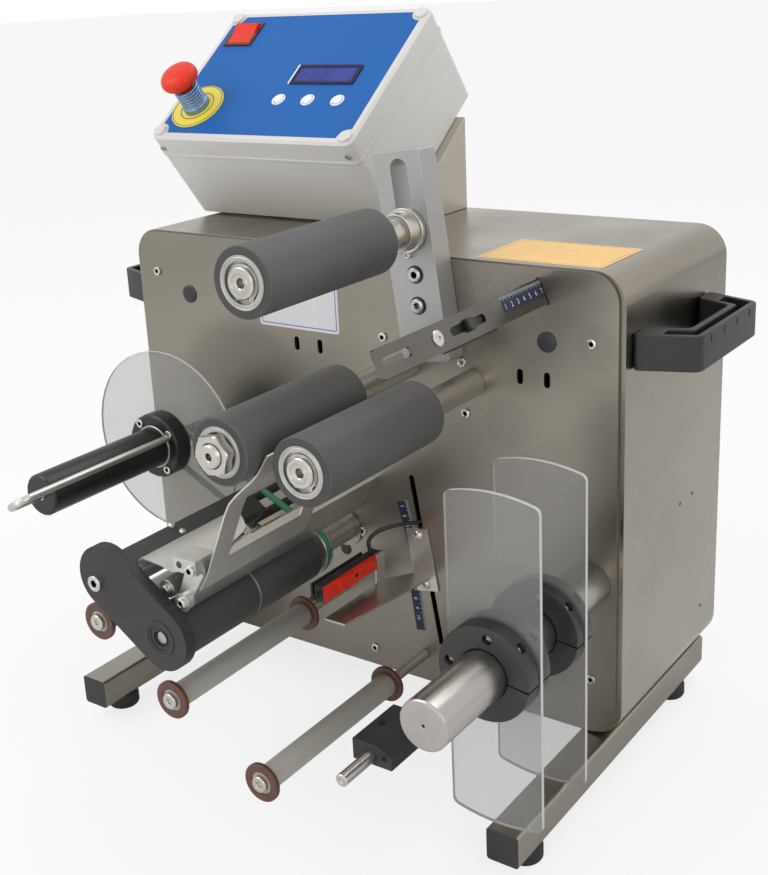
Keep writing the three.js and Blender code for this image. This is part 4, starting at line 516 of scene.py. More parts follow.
# Screw heads and plugs: rim, recess, its depth, dome and height as shares of the radius, recess sides, facets
HEADS = {
    "panel_screw": (0.45, 0.4, 0.35, 0.4, 0.45),
    "lid_screw": (0.86, 0.0, 0.5, 0.12, 0.34),
    "latch_screw": (0.9, 0.5, 0.4, 0.1, 0.3),
    "socket_screw": (0.9, 0.52, 0.5, 0.12, 0.5),
    "column_stub": (0.8, 0.45, 0.4, 0.2, 1.6),
    "column_bolt": (0.7, 0.45, 0.4, 0.25, 0.5),
    "hub_screw": (0.88, 0.52, 0.5, 0.16, 0.8),
    "disc_screw": (0.88, 0.52, 0.5, 0.16, 0.4),
    "cap_screw": (0.86, 0.5, 0.55, 0.16, 0.55),
    "button_head": (0.35, 0.42, 0.4, 0.42, 0.5),
    "block_screw": (0.88, 0.52, 0.5, 0.14, 0.45),
    "grip_pin": (0.9, 0.0, 0.5, 0.1, 0.2),
    "bar_screw": (0.9, 0.5, 0.5, 0.12, 0.55),
    "bar_stud": (0.62, 0.4, 0.16, 0.1, 0.24, 3, 42),
    "plate_screw": (0.88, 0.5, 0.5, 0.16, 0.5),
    "flange_screw": (0.5, 0.42, 0.4, 0.4, 0.42),
    "hole_plug": (0.3, 0.0, 0.5, 0.16, 0.22, 6, 40),
}


def head_mesh(name, rim, recess, depth, dome, high, recess_sides=6, around=24):
    """A screw head of radius 1 mm on Z = 0, with a socket if it has a recess."""
    bm = bmesh.new()

    def ring(radius, height):
        turns = [k * math.tau / around for k in range(around)]
        return [bm.verts.new((radius(t) * math.cos(t) * MM, radius(t) * math.sin(t) * MM, height * MM))
                for t in turns]

    def socket(t):
        turn = t % (math.tau / recess_sides) - math.pi / recess_sides
        return recess * math.cos(math.pi / recess_sides) / math.cos(turn)

    rings = [ring(lambda t: 1.0, 0.0), ring(lambda t: 1.0, high - dome)]
    for slope in (math.pi / 2 * i / 3.6 for i in (1, 2, 3)):
        rings.append(ring(lambda t: rim + (1 - rim) * math.cos(slope), high - dome + dome * math.sin(slope)))
    if recess:
        rings += [ring(lambda t: socket(t) * 1.12, high), ring(socket, high - 0.06), ring(socket, high - depth)]
    bridged(bm, rings)
    bm.faces.new(rings[0][::-1])
    bm.faces.new(rings[-1])
    return from_bmesh(name, bm, 38)


def heads_tree():
    """Geometry Nodes: one pattern on each point, turned and sized by the point's own attributes."""
    tree = bpy.data.node_groups.new("pattern_on_points", "GeometryNodeTree")
    for name, way, kind in (("Points", "INPUT", "Geometry"), ("Pattern", "INPUT", "Object"),
                            ("Finish", "INPUT", "Material"), ("Pieces", "OUTPUT", "Geometry")):
        tree.interface.new_socket(name, in_out=way, socket_type="NodeSocket" + kind)
    given = tree.nodes.new("NodeGroupInput").outputs
    info = add_node(tree, "GeometryNodeObjectInfo", {"Object": given["Pattern"]}, transform_space="ORIGINAL")
    turn = add_node(tree, "GeometryNodeInputNamedAttribute", {"Name": "turn"}, data_type="FLOAT_VECTOR")
    size = add_node(tree, "GeometryNodeInputNamedAttribute", {"Name": "size"}, data_type="FLOAT")
    spread = add_node(tree, "GeometryNodeInstanceOnPoints", {
        "Points": given["Points"], "Instance": info.outputs["Geometry"], "Rotation": turn.outputs["Attribute"],
        "Scale": size.outputs["Attribute"]})
    real = add_node(tree, "GeometryNodeRealizeInstances", {"Geometry": spread.outputs["Instances"]})
    paint = add_node(tree, "GeometryNodeSetMaterial", {"Geometry": real.outputs["Geometry"],
                                                       "Material": given["Finish"]})
    add_node(tree, "NodeGroupOutput", {"Pieces": paint.outputs["Geometry"]})
    return tree


def repeated(name, shape, places, mat, body=ROOT):
    """Copies of a mesh or a head of HEADS at places (position, direction, spin, scale), as one plain mesh."""
    tree = bpy.data.node_groups.get("pattern_on_points") or heads_tree()
    points = bpy.data.meshes.new(name + "_points")
    points.from_pydata([p[0] for p in places], [], [])
    points.attributes.new("turn", "FLOAT_VECTOR", "POINT")
    points.attributes.new("size", "FLOAT", "POINT")
    for i, (_, toward, spin, factor) in enumerate(places):
        points.attributes["turn"].data[i].vector = axis_matrix((0, 0, 0), toward, spin).to_euler()
        points.attributes["size"].data[i].value = factor
    mesh = head_mesh(shape, *HEADS[shape]) if isinstance(shape, str) else shape
    holder, pattern = linked(name + "_points", points), linked(name + "_pattern", mesh)
    mod = holder.modifiers.new("pattern", "NODES")
    mod.node_group = tree
    for item in tree.interface.items_tree:
        if item.name in ("Pattern", "Finish"):
            mod[item.identifier] = pattern if item.name == "Pattern" else FINISHES[mat]
    result = baked(holder, pattern)
    if not len(result.polygons):
        raise RuntimeError("no copies were made for " + name)
    result.name = name
    return placed(linked(name, smooth(result, 38)), body=body)


def front(x, z, scale, spin=0.0, y=0.0):
    """A place on the front plate's face for repeated()."""
    return (at(x, y, z), (0, -1, 0), spin, scale)


# --- sizes and colours a user may change
def colour_value(name, description, default):
    return FloatVectorProperty(name=name, description=description, subtype="COLOR", size=3, default=default, min=0,
                               max=1)


class LabellerLooks(bpy.types.PropertyGroup):
    """Colours and small sizes of the dressed machine."""
    plate_colour: colour_value("Sheet steel", "Brushed housing sheet", (0.300, 0.277, 0.235))
    box_colour: colour_value("Control box", "Moulded box", (0.640, 0.632, 0.610))
    film_colour: colour_value("Front film", "Film on the box's lid", (0.017, 0.120, 0.400))
    rubber_colour: colour_value("Roller rubber", "Rubber of the large rollers", (0.090, 0.089, 0.086))
    roller_sides: IntProperty(name="Roller sides", description="Facets round a large roller", default=96, min=24,
                              max=256)
    edge_width: FloatProperty(name="Edge width", description="Small round on sheet and moulded edges",
                              default=0.0004, min=0.0, max=0.002, unit="LENGTH")


class LabellerLight(bpy.types.PropertyGroup):
    """Light and camera of the studio."""
    world_strength: FloatProperty(name="Surround", description="Strength of the pale surround", default=0.78,
                                  min=0.0, max=3.0)
    key_power: FloatProperty(name="Key light", description="Power of the large soft light", default=22.0, min=0.0,
                             unit="POWER")
    fill_power: FloatProperty(name="Fill light", description="Power of the fill light", default=9.0, min=0.0,
                              unit="POWER")
    focal_pixels: FloatProperty(name="Focal length", description="Camera focal length in pixels of the frame",
                                default=1294.6, min=100.0)


def looks():
    return bpy.context.scene.labeller_looks


# --- stage and camera
PHOTO, MIDDLE = (768, 875), (372.5, 394.2)       # the photograph's size, and where the camera's axis meets it, pixels
YAW, PITCH, ROLL = (math.radians(angle) for angle in (36.08, 17.77, -2.874))
ANCHOR, ANCHOR_AT, ANCHOR_FAR = (616.6, 735.0), at(273, 0, 4), 1.227      # a place's pixels, it and its distance, m
SENSOR = 36.0                                    # sensor height, mm
FLOOR_HALF, FLOOR_Z, FLOOR_GLOW = 30, -0.0006, 0.78


class StageOperator(bpy.types.Operator):
    """Camera at the photograph's angle, pale floor, soft light and surround"""
    bl_idname = "labeller.stage"
    bl_label = "Stage"

    def execute(self, context):
        light = context.scene.labeller_light
        self.camera(context.scene, light.focal_pixels)
        self.floor()
        self.surround(context.scene, light.world_strength)
        for name, place, aim, size, power in (
                ("key", (-1.5, -1.6, 2.2), (0, -0.1, 0.35), 1.6, light.key_power),
                ("fill", (2.4, -1.2, 1.3), (0, 0, 0.3), 1.5, light.fill_power),
                ("low", (0.1, -2.3, 0.45), (0, 0, 0.42), 1.2, light.fill_power * 0.75),
                ("top", (0.4, 0.9, 2.4), (0, 0, 0.4), 1.4, light.fill_power * 1.3)):
            lamp = bpy.data.lights.new(name, "AREA")
            lamp.size, lamp.energy = size, power
            linked(name, lamp).matrix_world = axis_matrix(Vector(place), Vector(place) - Vector(aim))
        context.scene.view_settings.view_transform = "Standard"
        return {"FINISHED"}

    def camera(self, scene, focal):
        (wide, tall), (across, down) = PHOTO, MIDDLE
        back = Vector((math.sin(YAW) * math.cos(PITCH), -math.cos(YAW) * math.cos(PITCH), math.sin(PITCH)))
        right = (-back).cross(Vector((0, 0, 1))).normalized()
        up = right.cross(-back)
        right, up = right * math.cos(ROLL) + up * math.sin(ROLL), up * math.cos(ROLL) - right * math.sin(ROLL)
        anchor = Vector(((ANCHOR[0] - across) / focal, (ANCHOR[1] - down) / focal, 1.0))
        ray = (right * anchor.x - up * anchor.y - back * anchor.z).normalized()
        lens = bpy.data.cameras.new("camera")
        scene.camera = linked("camera", lens)
        turn = Matrix((right, up, back)).transposed().to_4x4()
        scene.camera.matrix_world = Matrix.Translation(ANCHOR_AT - ray * ANCHOR_FAR) @ turn
        lens.sensor_fit, lens.sensor_height, lens.lens = "VERTICAL", SENSOR, focal * SENSOR / tall
        lens.shift_x, lens.shift_y = (wide / 2 - across) / tall, (down - tall / 2) / tall
        lens.clip_start, lens.clip_end = 0.01, 60.0

    def floor(self):
        """A pale floor that looks nearly white to the camera and through the clear sheets."""
        mesh = bpy.data.meshes.new("floor")
        mesh.from_pydata([(x * FLOOR_HALF, y * FLOOR_HALF, FLOOR_Z) for x, y in ((-1, -1), (1, -1), (1, 1), (-1, 1))],
                         [], [(0, 1, 2, 3)])
        mat = new_surface("pale_floor", (0.86, 0.86, 0.86), 0.0, 0.9)
        tree = mat.node_tree
        path = add_node(tree, "ShaderNodeLightPath").outputs
        seen = any_of(tree, path["Is Camera Ray"], path["Is Transmission Ray"])
        most = add_node(tree, "ShaderNodeMath", {0: seen, 1: FLOOR_GLOW}, operation="MULTIPLY")
        shine = add_node(tree, "ShaderNodeEmission", {"Strength": 1.0})
        mix = add_node(tree, "ShaderNodeMixShader", {0: most.outputs[0], 1: shader_of(mat).outputs[0],
                                                     2: shine.outputs[0]})
        tree.links.new(mix.outputs[0], tree.nodes["Material Output"].inputs["Surface"])
        mesh.materials.append(mat)
        linked("floor", mesh)

    def surround(self, scene, strength):
        """Light that is paler from above; the camera, reflections and clear sheets see plain white."""
        world = bpy.data.worlds.new("studio")
        scene.world, world.use_nodes = world, True
        tree = world.node_tree
        where = add_node(tree, "ShaderNodeTexCoord").outputs["Generated"]
        height = add_node(tree, "ShaderNodeSeparateXYZ", {0: where}).outputs["Z"]
        shift = add_node(tree, "ShaderNodeMapRange", {"Value": height, "From Min": -1.0})
        ramp = add_node(tree, "ShaderNodeValToRGB", {0: shift.outputs["Result"]})
        low, high = ramp.color_ramp.elements
        low.color, high.color = (0.55, 0.53, 0.50, 1), (1.0, 1.0, 1.0, 1)
        low.position, high.position = 0.30, 0.75
        base = fed(tree, tree.nodes["Background"], {"Color": ramp.outputs[0], "Strength": strength})
        white = add_node(tree, "ShaderNodeBackground", {"Color": (1, 1, 1, 1), "Strength": 1.0})
        path = add_node(tree, "ShaderNodeLightPath").outputs
        seen = any_of(tree, path["Is Camera Ray"], path["Is Glossy Ray"], path["Is Transmission Ray"])
        mix = add_node(tree, "ShaderNodeMixShader", {0: seen, 1: base.outputs[0], 2: white.outputs[0]})
        tree.links.new(mix.outputs[0], tree.nodes["World Output"].inputs["Surface"])


# --- sensor cable
class CableOperator(bpy.types.Operator):
    """The label sensor's short cable"""
    bl_idname = "labeller.cable"
    bl_label = "Sensor cable"

    def execute(self, context):
        given = [at(*p) for p in (
            (68, 8, 170), (68, -3, 170), (64, -12, 172), (57.5, -21, 172.2), (49.5, -29, 170.5), (42, -35, 166.5),
            (37.5, -39, 161.5), (36.2, -40.5, 156), (36.8, -40, 151), (37, -40, 146.3))]
        bm = bmesh.new()
        pipe(bm, smooth_line(given, 8), 2 * MM, 16)
        obj = piece("sensor_cable_sheath", bm, "cable", "sensor_cable", "sensor_carriage")
        return {"FINISHED"}


# --- housing, legs, handles
BACK_FACE, CAP_DEEP, SLOT_DROP = 0.2375, 0.0041, 0.006       # back panel, end caps of the legs, handle slots, m


class HousingOperator(bpy.types.Operator):
    """Brushed front plate, wrapped cover, back panel, bracket, legs, feet and handles"""
    bl_idname = "labeller.housing"
    bl_label = "Housing"

    def execute(self, context):
        ease = looks().edge_width / MM
        refined("front_plate", "plate", ease)
        refined("housing_cover", "cover", ease * 1.6, segments=3)
        refined("back_panel", ["back", "plug"], ease * 0.6,
                choose=lambda c, n: 0.155 < c.x < 0.225 and c.z < 0.13)
        refined("box_wedge_bracket", "bracket", ease)
        spots = ((-262, 150), (-262, 380), (262, 150), (262, 380), (-80, 60.5), (80, 60.5), (-80, 462), (80, 462))
        repeated("back_panel_screws", "panel_screw", [
            ((x * MM, BACK_FACE, z * MM), (0, 1, 0), 0.3 * i, 4.0) for i, (x, z) in enumerate(spots)],
            "screw")
        rail_slots = []
        for side, out in (("left", -1), ("right", 1)):
            low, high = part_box("leg_tube_" + side)
            near, far = low[1] + CAP_DEEP, high[1] - CAP_DEEP
            refined("leg_tube_" + side, ["leg", "cap"], ease,
                    choose=lambda c, n: c.y < near or c.y > far)
            refined("handle_" + side, "handle", 1.6, segments=4)
            for end in ("front", "back"):
                self.foot(f"foot_{side}_{end}")
            low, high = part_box("handle_" + side)
            outer, middle = (low[0], high[0])[out > 0], (low[1] + high[1]) / 2
            rail_slots += [((outer - out * 0.0002, middle + share * (high[1] - low[1]), high[2] - SLOT_DROP),
                            (out, 0, 0), 0.0, 1.0) for share in (-0.27, -0.09, 0.09, 0.27)]
        # Painted shade: flat near-black slots on the handles stand in for the shade inside their openings.
        repeated("handle_rail_slots", flat_mesh("rail_slot", rounded(-1.1, 1.1, -3.4, 3.4, 0.9), -0.3, 0.35),
                 rail_slots, "hole")
        return {"FINISHED"}

    def foot(self, node):
        low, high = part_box(node)
        r, tall = (high[0] - low[0]) / 2 / MM, high[2] / MM
        bm = bmesh.new()
        lathe_at(bm, [[0, 0], [r * 0.78, 0], [r * 0.8, 0.6], [r * 0.9, 0.6], [r, 3], [r, tall - 3], [r * 0.92, tall],
                      [0, tall]], Matrix.Translation(((low[0] + high[0]) / 2, (low[1] + high[1]) / 2, 0)), 48, 0.8)
        piece(node + "_rubber", bm, "foot", node)


# --- control box
LID = Matrix.Translation(at(-272.6, 99.6, 429.9)) @ Matrix.Rotation(math.radians(37.3), 4, "X")
LID_TOP = 111.0                                  # the lid's face above LID, mm
SWITCH, STOP, DISPLAY = (33.5, 155), (39, 44.7), (178, 93)         # places on the lid, mm
BUTTONS, BUTTONS_Y = (138.5, 175.0, 211.5), 57.5


def on_lid(x, y, z=LID_TOP):
    return LID @ Matrix.Translation(Vector((x, y, z)) * MM)


def rounded_at(centre, half_x, half_y, r):
    """A rounded outline round a centre."""
    return rounded(centre[0] - half_x, centre[0] + half_x, centre[1] - half_y, centre[1] + half_y, r)


class ControlBoxOperator(bpy.types.Operator):
    """Moulded box, film, display, buttons, rocker switch and emergency stop"""
    bl_idname = "labeller.control_box"
    bl_label = "Control box"

    def execute(self, context):
        refined("control_box_base", "abs", 0.8, segments=3)
        refined("control_box_lid", ["abs", "red_frame"], 0.6, segments=3, choose=self.rocker_frame)
        refined("rocker_switch", "red", 0.5, "rocker", segments=3)
        refined("controller_board", "board", 0)
        self.film()
        self.seam()
        self.display()
        self.buttons()
        self.stop_button()
        return {"FINISHED"}

    def rocker_frame(self, centre, normal):
        p = LID.inverted() @ centre / MM
        x, y = abs(p.x - SWITCH[0]), abs(p.y - SWITCH[1])
        inside = x < 17.3 and y < 16.3
        return x < 18.8 and y < 17.8 and p.z > 82 and (p.z > 111.05 or inside) and not 110.5 < p.z < 111.05

    def film(self):
        """The blue film with round cut-outs at the lid's corner screws and holes for the controls."""
        x0, x1, y0, y1, notch, thick = 7.5, 249.2, 7.5, 183.5, 12.5, 0.00022
        outline = []
        for cx, cy, start in ((x1, y1, 270), (x0, y1, 0), (x0, y0, 90), (x1, y0, 180)):
            outline += arc(cx, cy, notch, start, -90, 12)
        holes = [rounded_at(SWITCH, 18.8, 17.8, 1.5), disc(*STOP, 29.5), rounded_at(DISPLAY, 39, 12.5, 1.5)]
        holes += [disc(x, BUTTONS_Y, 6.4) for x in BUTTONS]
        bm = bmesh.new()
        rims = []
        for loop in [outline] + holes:
            verts = row_of(bm, loop, 0)
            rims += [bm.edges.new(ends) for ends in zip(verts, verts[1:] + verts[:1])]
        bmesh.ops.triangle_fill(bm, use_beauty=True, edges=rims, normal=(0, 0, 1))
        made = bmesh.ops.extrude_face_region(bm, geom=bm.faces[:])
        bmesh.ops.translate(bm, verts=[v for v in made["geom"] if isinstance(v, bmesh.types.BMVert)],
                            vec=(0, 0, thick))
        bmesh.ops.transform(bm, matrix=on_lid(0, 0, LID_TOP + 0.03), verts=bm.verts)
        piece("control_box_film", bm, "film")

    def seam(self):
        """Corner screw caps, a thin lip round the lid's lower edge, and a latch screw at each front corner."""
        out = LID.to_3x3()
        caps = [(LID @ (Vector((x, y, LID_TOP + 0.02)) * MM), out @ Vector((0, 0, 1)), 0.0, 7.2)
                for y in (9.5, 181.5) for x in (9.5, 247.2)]
        repeated("lid_corner_caps", "lid_screw", caps, "abs")
        height = LID_TOP - 24.0
        bm = bmesh.new()
        band(bm, rounded(-1.1, 257.8, -1.1, 192.1, 9.5), rounded(1, 255.7, 1, 190, 8), height - 2.2, height, LID)
        piece("lid_lower_lip", bm, "abs")
        latches = [(LID @ (Vector((x, -0.2, height + 8)) * MM), out @ Vector((0, -1, 0)), 0.3, 3.3)
                   for x in (9, 247.7)]
        repeated("lid_latch_screws", "latch_screw", latches, "core")

    def display(self):
        """A frame, a recessed glass and, at its left, a white strip that is a painted highlight on the glass's edge."""
        place = on_lid(*DISPLAY)
        bm = bmesh.new()
        band(bm, rounded(-40, 40, -13.5, 13.5, 2), rounded(-35.5, 35.5, -10, 10, 1), 0.3, 1.5, place)
        slab(bm, rounded(-35.4, 35.4, -9.9, 9.9, 1), 0.3, 1.0, place, 1)
        # Painted highlight: a white strip along the left edge of the glass.
        slab(bm, [(-40.4, -13.5), (-38.6, -13.5), (-38.6, 13.5), (-40.4, 13.5)], 0.3, 1.62, place, 2)
        piece("display_frame_and_glass", bm, ["lcd_frame", "lcd", "white"], "display_window")

    def buttons(self):
        for i, x in enumerate(BUTTONS, 1):
            place = on_lid(x, BUTTONS_Y)
            bm = bmesh.new()
            lathe_at(bm, [[0, -12.5], [2.75, -12.5], [2.75, -7], [7.5, -7], [7.5, -3.8], [5.5, -3.8], [5.5, 1.2],
                          [4.9, 1.9], [2.5, 1.75], [0, 1.7]], place, 48, 0.25)
            piece(f"button_{i}_cap", bm, "white", f"push_button_{i}", f"button_{i}")
            bm = bmesh.new()
            lathe_at(bm, [[5.95, 0.05], [7.6, 0.05], [7.6, 0.5], [7.2, 0.75], [6.3, 0.75], [5.95, 0.5]], place, 48, 0.1)
            piece(f"button_{i}_ring", bm, "white")

    def stop_button(self):
        """Yellow plate, ringed bushing, contact block and mushroom head."""
        place = on_lid(*STOP)
        bm = bmesh.new()
        lathe_at(bm, [[0, 0.3], [30, 0.3], [30, 1.7], [29.5, 1.9], [0, 1.9]], place, 96, 0.15, 0)
        for r0, r1 in ((18.6, 19.4), (28.2, 28.9)):
            lathe_at(bm, [[r0, 1.9], [r1, 1.9], [r1, 2.05], [r0, 2.05]], place, 72, 0.0, 2)
        body = [[6.5, 1.6], [14.5, 1.6], [14.5, 7.2], [14, 8.2], [13.3, 8.6]]
        for y in (10 + i * 3.3 for i in range(5)):
            body += [[13.3, y], [12.7, y + 0.4], [12.7, y + 1.0], [13.3, y + 1.4]]
        body += [[13.3, 26.8], [12.6, 27.6], [9.2, 27.6], [6.5, 24.6]]
        lathe_at(bm, body, place, 72, 0.25, 1)
        slab(bm, [(-15, -15), (15, -15), (15, 15), (-15, 15)], -29.8, -3.8, place, 3)
        lathe_at(bm, [[0, -3.9], [11, -3.9], [11, 0.4], [0, 0.4]], place, 32, 0.2, 3)
        piece("stop_bushing_and_plate", bm, ["yellow", "bushing", "ink", "plug"], "estop_bushing")
        bm = bmesh.new()
        head = [[0, 6.2], [6, 6.2], [6, 31.9], [13.6, 31.9], [14.4, 33.6], [18.4, 34.9], [20, 37.6], [20, 40.8],
                [19.2, 44.1], [16.4, 47.0], [12, 48.6], [6, 49.2], [0, 49.3]]
        lathe_at(bm, head, place, 96, 1.6)
        lathe_at(bm, [[6.4, 49.15], [7.4, 49.05], [7.4, 49.22], [6.4, 49.32]], place, 64, 0.0)
        piece("stop_head_mushroom", bm, "red", "estop_head", "estop_head")


# --- rubber rollers on their shafts
PRESS = (-243.5, -79.6)                          # front and back of each rubber sleeve, mm from the plate
CRADLES = {"left": (-258.6, -101.4), "right": (-247.6, -91.8)}
COLUMN_FACE = -25.3
CLIP_AT = 2.6                                    # a retaining ring behind the sleeve's front


class RollersOperator(bpy.types.Operator):
    """Press roller and the two cradle rollers, with cores, clips, shafts and the press column"""
    bl_idname = "labeller.rollers"
    bl_label = "Rubber rollers"

    def execute(self, context):
        self.press()
        for side in CRADLES:
            self.cradle(side)
        refined("press_column", "column", 0.5, segments=3)
        self.column_screws()
        return {"FINISHED"}

    def sleeve(self, node, front, back):
        """A rubber sleeve on a metal core; the core has a step and a shielded bearing at each end."""
        axis, sides = node_axis(node)[0], looks().roller_sides
        f, b = front + FACE, back + FACE
        bm = bmesh.new()
        lathe(bm, mirrored(f, b, (21.05, 0.2), (27.2, 0), (28, 0.9)), *axis, sides, 0.4)
        bm.normal_update()
        for face in bm.faces:
            face.material_index = 2 if abs(face.normal.y) > 0.9 else 0
        core = run(f, (16.5, -0.4), (19.0, -0.4), (19.3, -0.1), (19.8, -0.1), (20.1, -0.4), (21, -0.4))
        core += run(b, (21, 0), (16.5, 0), (16.5, -3.2), (16.5, -6)) + run(f, (16.5, 6), (16.5, 3.2))
        lathe(bm, core, *axis, sides, 0.2, 1)
        shield = (16.4, 0), (15.2, 0), (15.0, 0.5), (14.2, 0.5), (14.0, 0), (13.0, 0), (12.9, 4), (16.4, 4)
        for y, inward in ((f + 3.3, 1), (b - 3.3, -1)):
            lathe(bm, [[r, y + inward * d] for r, d in shield], *axis, 64, 0.1, 1)
        piece(node + "_sleeve", bm, ["rubber", "core", "dark_rubber"], node, node)

    def nose(self, front, tip=2.5):
        """The turned front end of a shaft, with the clip's groove."""
        f = front + FACE
        return run(f, (0, 5), (3.6, 5)) + run(f - tip, (3.8, 0.8), (4.8, 0), (6.6, 0), (6.9, 0.7), (8.2, 0.7),
                                              (8.5, -0.2), (11.4, -0.2), (12.5, 0.9))

    def seats(self, front, back):
        """The shaft under the sleeve, and the shoulder behind it."""
        return run(front + FACE, (12.5, 1.0), (12.5, 3.4)) + run(
            back + FACE, (12.5, -2.9), (14, -2.9), (14, 3.2), (12.5, 3.2))

    def clip(self, bm, axis, front):
        """An open retaining ring with two eyes, close behind the sleeve's front."""
        place = Matrix.Translation((axis[0] * MM, (front + CLIP_AT + FACE) * MM, axis[1] * MM)) @ UP
        slab(bm, arc(0, 0, 14.1, -68, 316, 32) + arc(0, 0, 12.3, 248, -316, 32), 0, 1.2, place)
        for eye in (polar(0, 0, 13.9, -60), polar(0, 0, 13.9, 240)):
            band(bm, disc(*eye, 2.0, 20), disc(*eye, 0.8, 20), -0.05, 1.3, place)

    def press(self):
        axis = node_axis("press_roller")[0]
        self.sleeve("press_roller", *PRESS)
        collar = run(COLUMN_FACE - 0.3 + FACE, (12.5, -19), (12.8, -19.5), (16.6, -19.5), (17, -19), (17, -7),
                     (17.2, -6), (19.4, -6), (20, -5.4), (20, -0.3), (8, -0.3))
        bm = bmesh.new()
        lathe(bm, self.nose(PRESS[0]) + self.seats(*PRESS) + collar + run(FACE, (8, 13.1), (0, 13.1)), *axis, 72, 0.25)
        self.clip(bm, axis, PRESS[0])
        slab(bm, arc(0, 0, 15, 30, 300, 5), -(FACE + 12), -(FACE + 0.4),
             Matrix.Translation((axis[0] * MM, 0, axis[1] * MM)) @ UP)
        piece("press_shaft_turned", bm, "shaft", "press_shaft", "press_carriage")

    def cradle(self, side):
        node, ends = "cradle_" + side, CRADLES[side]
        axis, f = node_axis(node)[0], ends[0] + FACE
        self.sleeve(node, *ends)
        back = self.seats(*ends) + run(FACE - 0.3, (12.5, 0), (8, 0), (8, 3.3), (0, 3.3))
        bm = bmesh.new()
        if side == "right":
            lathe(bm, self.nose(ends[0]) + back, *axis, 72, 0.25)
            self.clip(bm, axis, ends[0])
        else:
            tip = f - 13
            stub = run(tip, (0, 8), (3, 8), (3, 0.8), (3.8, 0), (8.6, 0))
            for i in range(4):
                stub += run(tip + i, (9.5, 0.7), (9.0, 1.2))
            stub += run(f, (9.4, -9.4), (9.4, -0.2), (12.5, -0.2))
            lathe(bm, stub + back, *axis, 72, 0.08)
            self.nut(*axis, f - 9.7, f - 0.9)
        piece(node + "_shaft_turned", bm, "shaft", node + "_shaft")

    def nut(self, x, z, y0, y1):
        """A hexagon nut with turned corners and thin washer faces."""
        around, turn, corner = 72, math.radians(12), 17.5
        bm, rings = bmesh.new(), []
        for y, limit in ((y0, 15.4), (y0 + 0.05, 15.7), (y0 + 0.9, corner), (y1 - 1.2, corner), (y1 - 0.6, 17.0),
                         (y1 - 0.6, 16.6), (y1, 16.6), (y1, 10), (y0 + 0.6, 10), (y0, 10.8)):
            ring = []
            for t in (k * math.tau / around for k in range(around)):
                r = min(corner * math.cos(math.pi / 6) / math.cos(t % (math.pi / 3) - math.pi / 6), limit)
                ring.append(bm.verts.new(((x + r * math.cos(t + turn)) * MM, y * MM,
                                          (z + r * math.sin(t + turn)) * MM)))
            rings.append(ring)
        bridged(bm, rings, True)
        piece("cradle_left_nut", bm, "shaft", degrees=12)

    def column_screws(self):
        """Two socket screws in the column's face, a washer ring round each and one small bolt above."""
        spots = ((90.9, 417, 0.3), (92.8, 389.5, 0.7))
        repeated("column_socket_screws", "socket_screw", [front(x, z, 6.4, spin, COLUMN_FACE) for x, z, spin in spots],
                 "shaft")
        repeated("column_screw_seats", flat_mesh("seat_ring", disc(0, 0, 8.0), 0.0, 0.5, disc(0, 0, 6.7)),
                 [front(x, z, 1, 0, COLUMN_FACE) for x, z, _ in spots], "dark_screw")
        repeated("column_stub_bolt", "column_stub", [front(86.0, 434.7, 3.4, 0.4, COLUMN_FACE)], "screw")


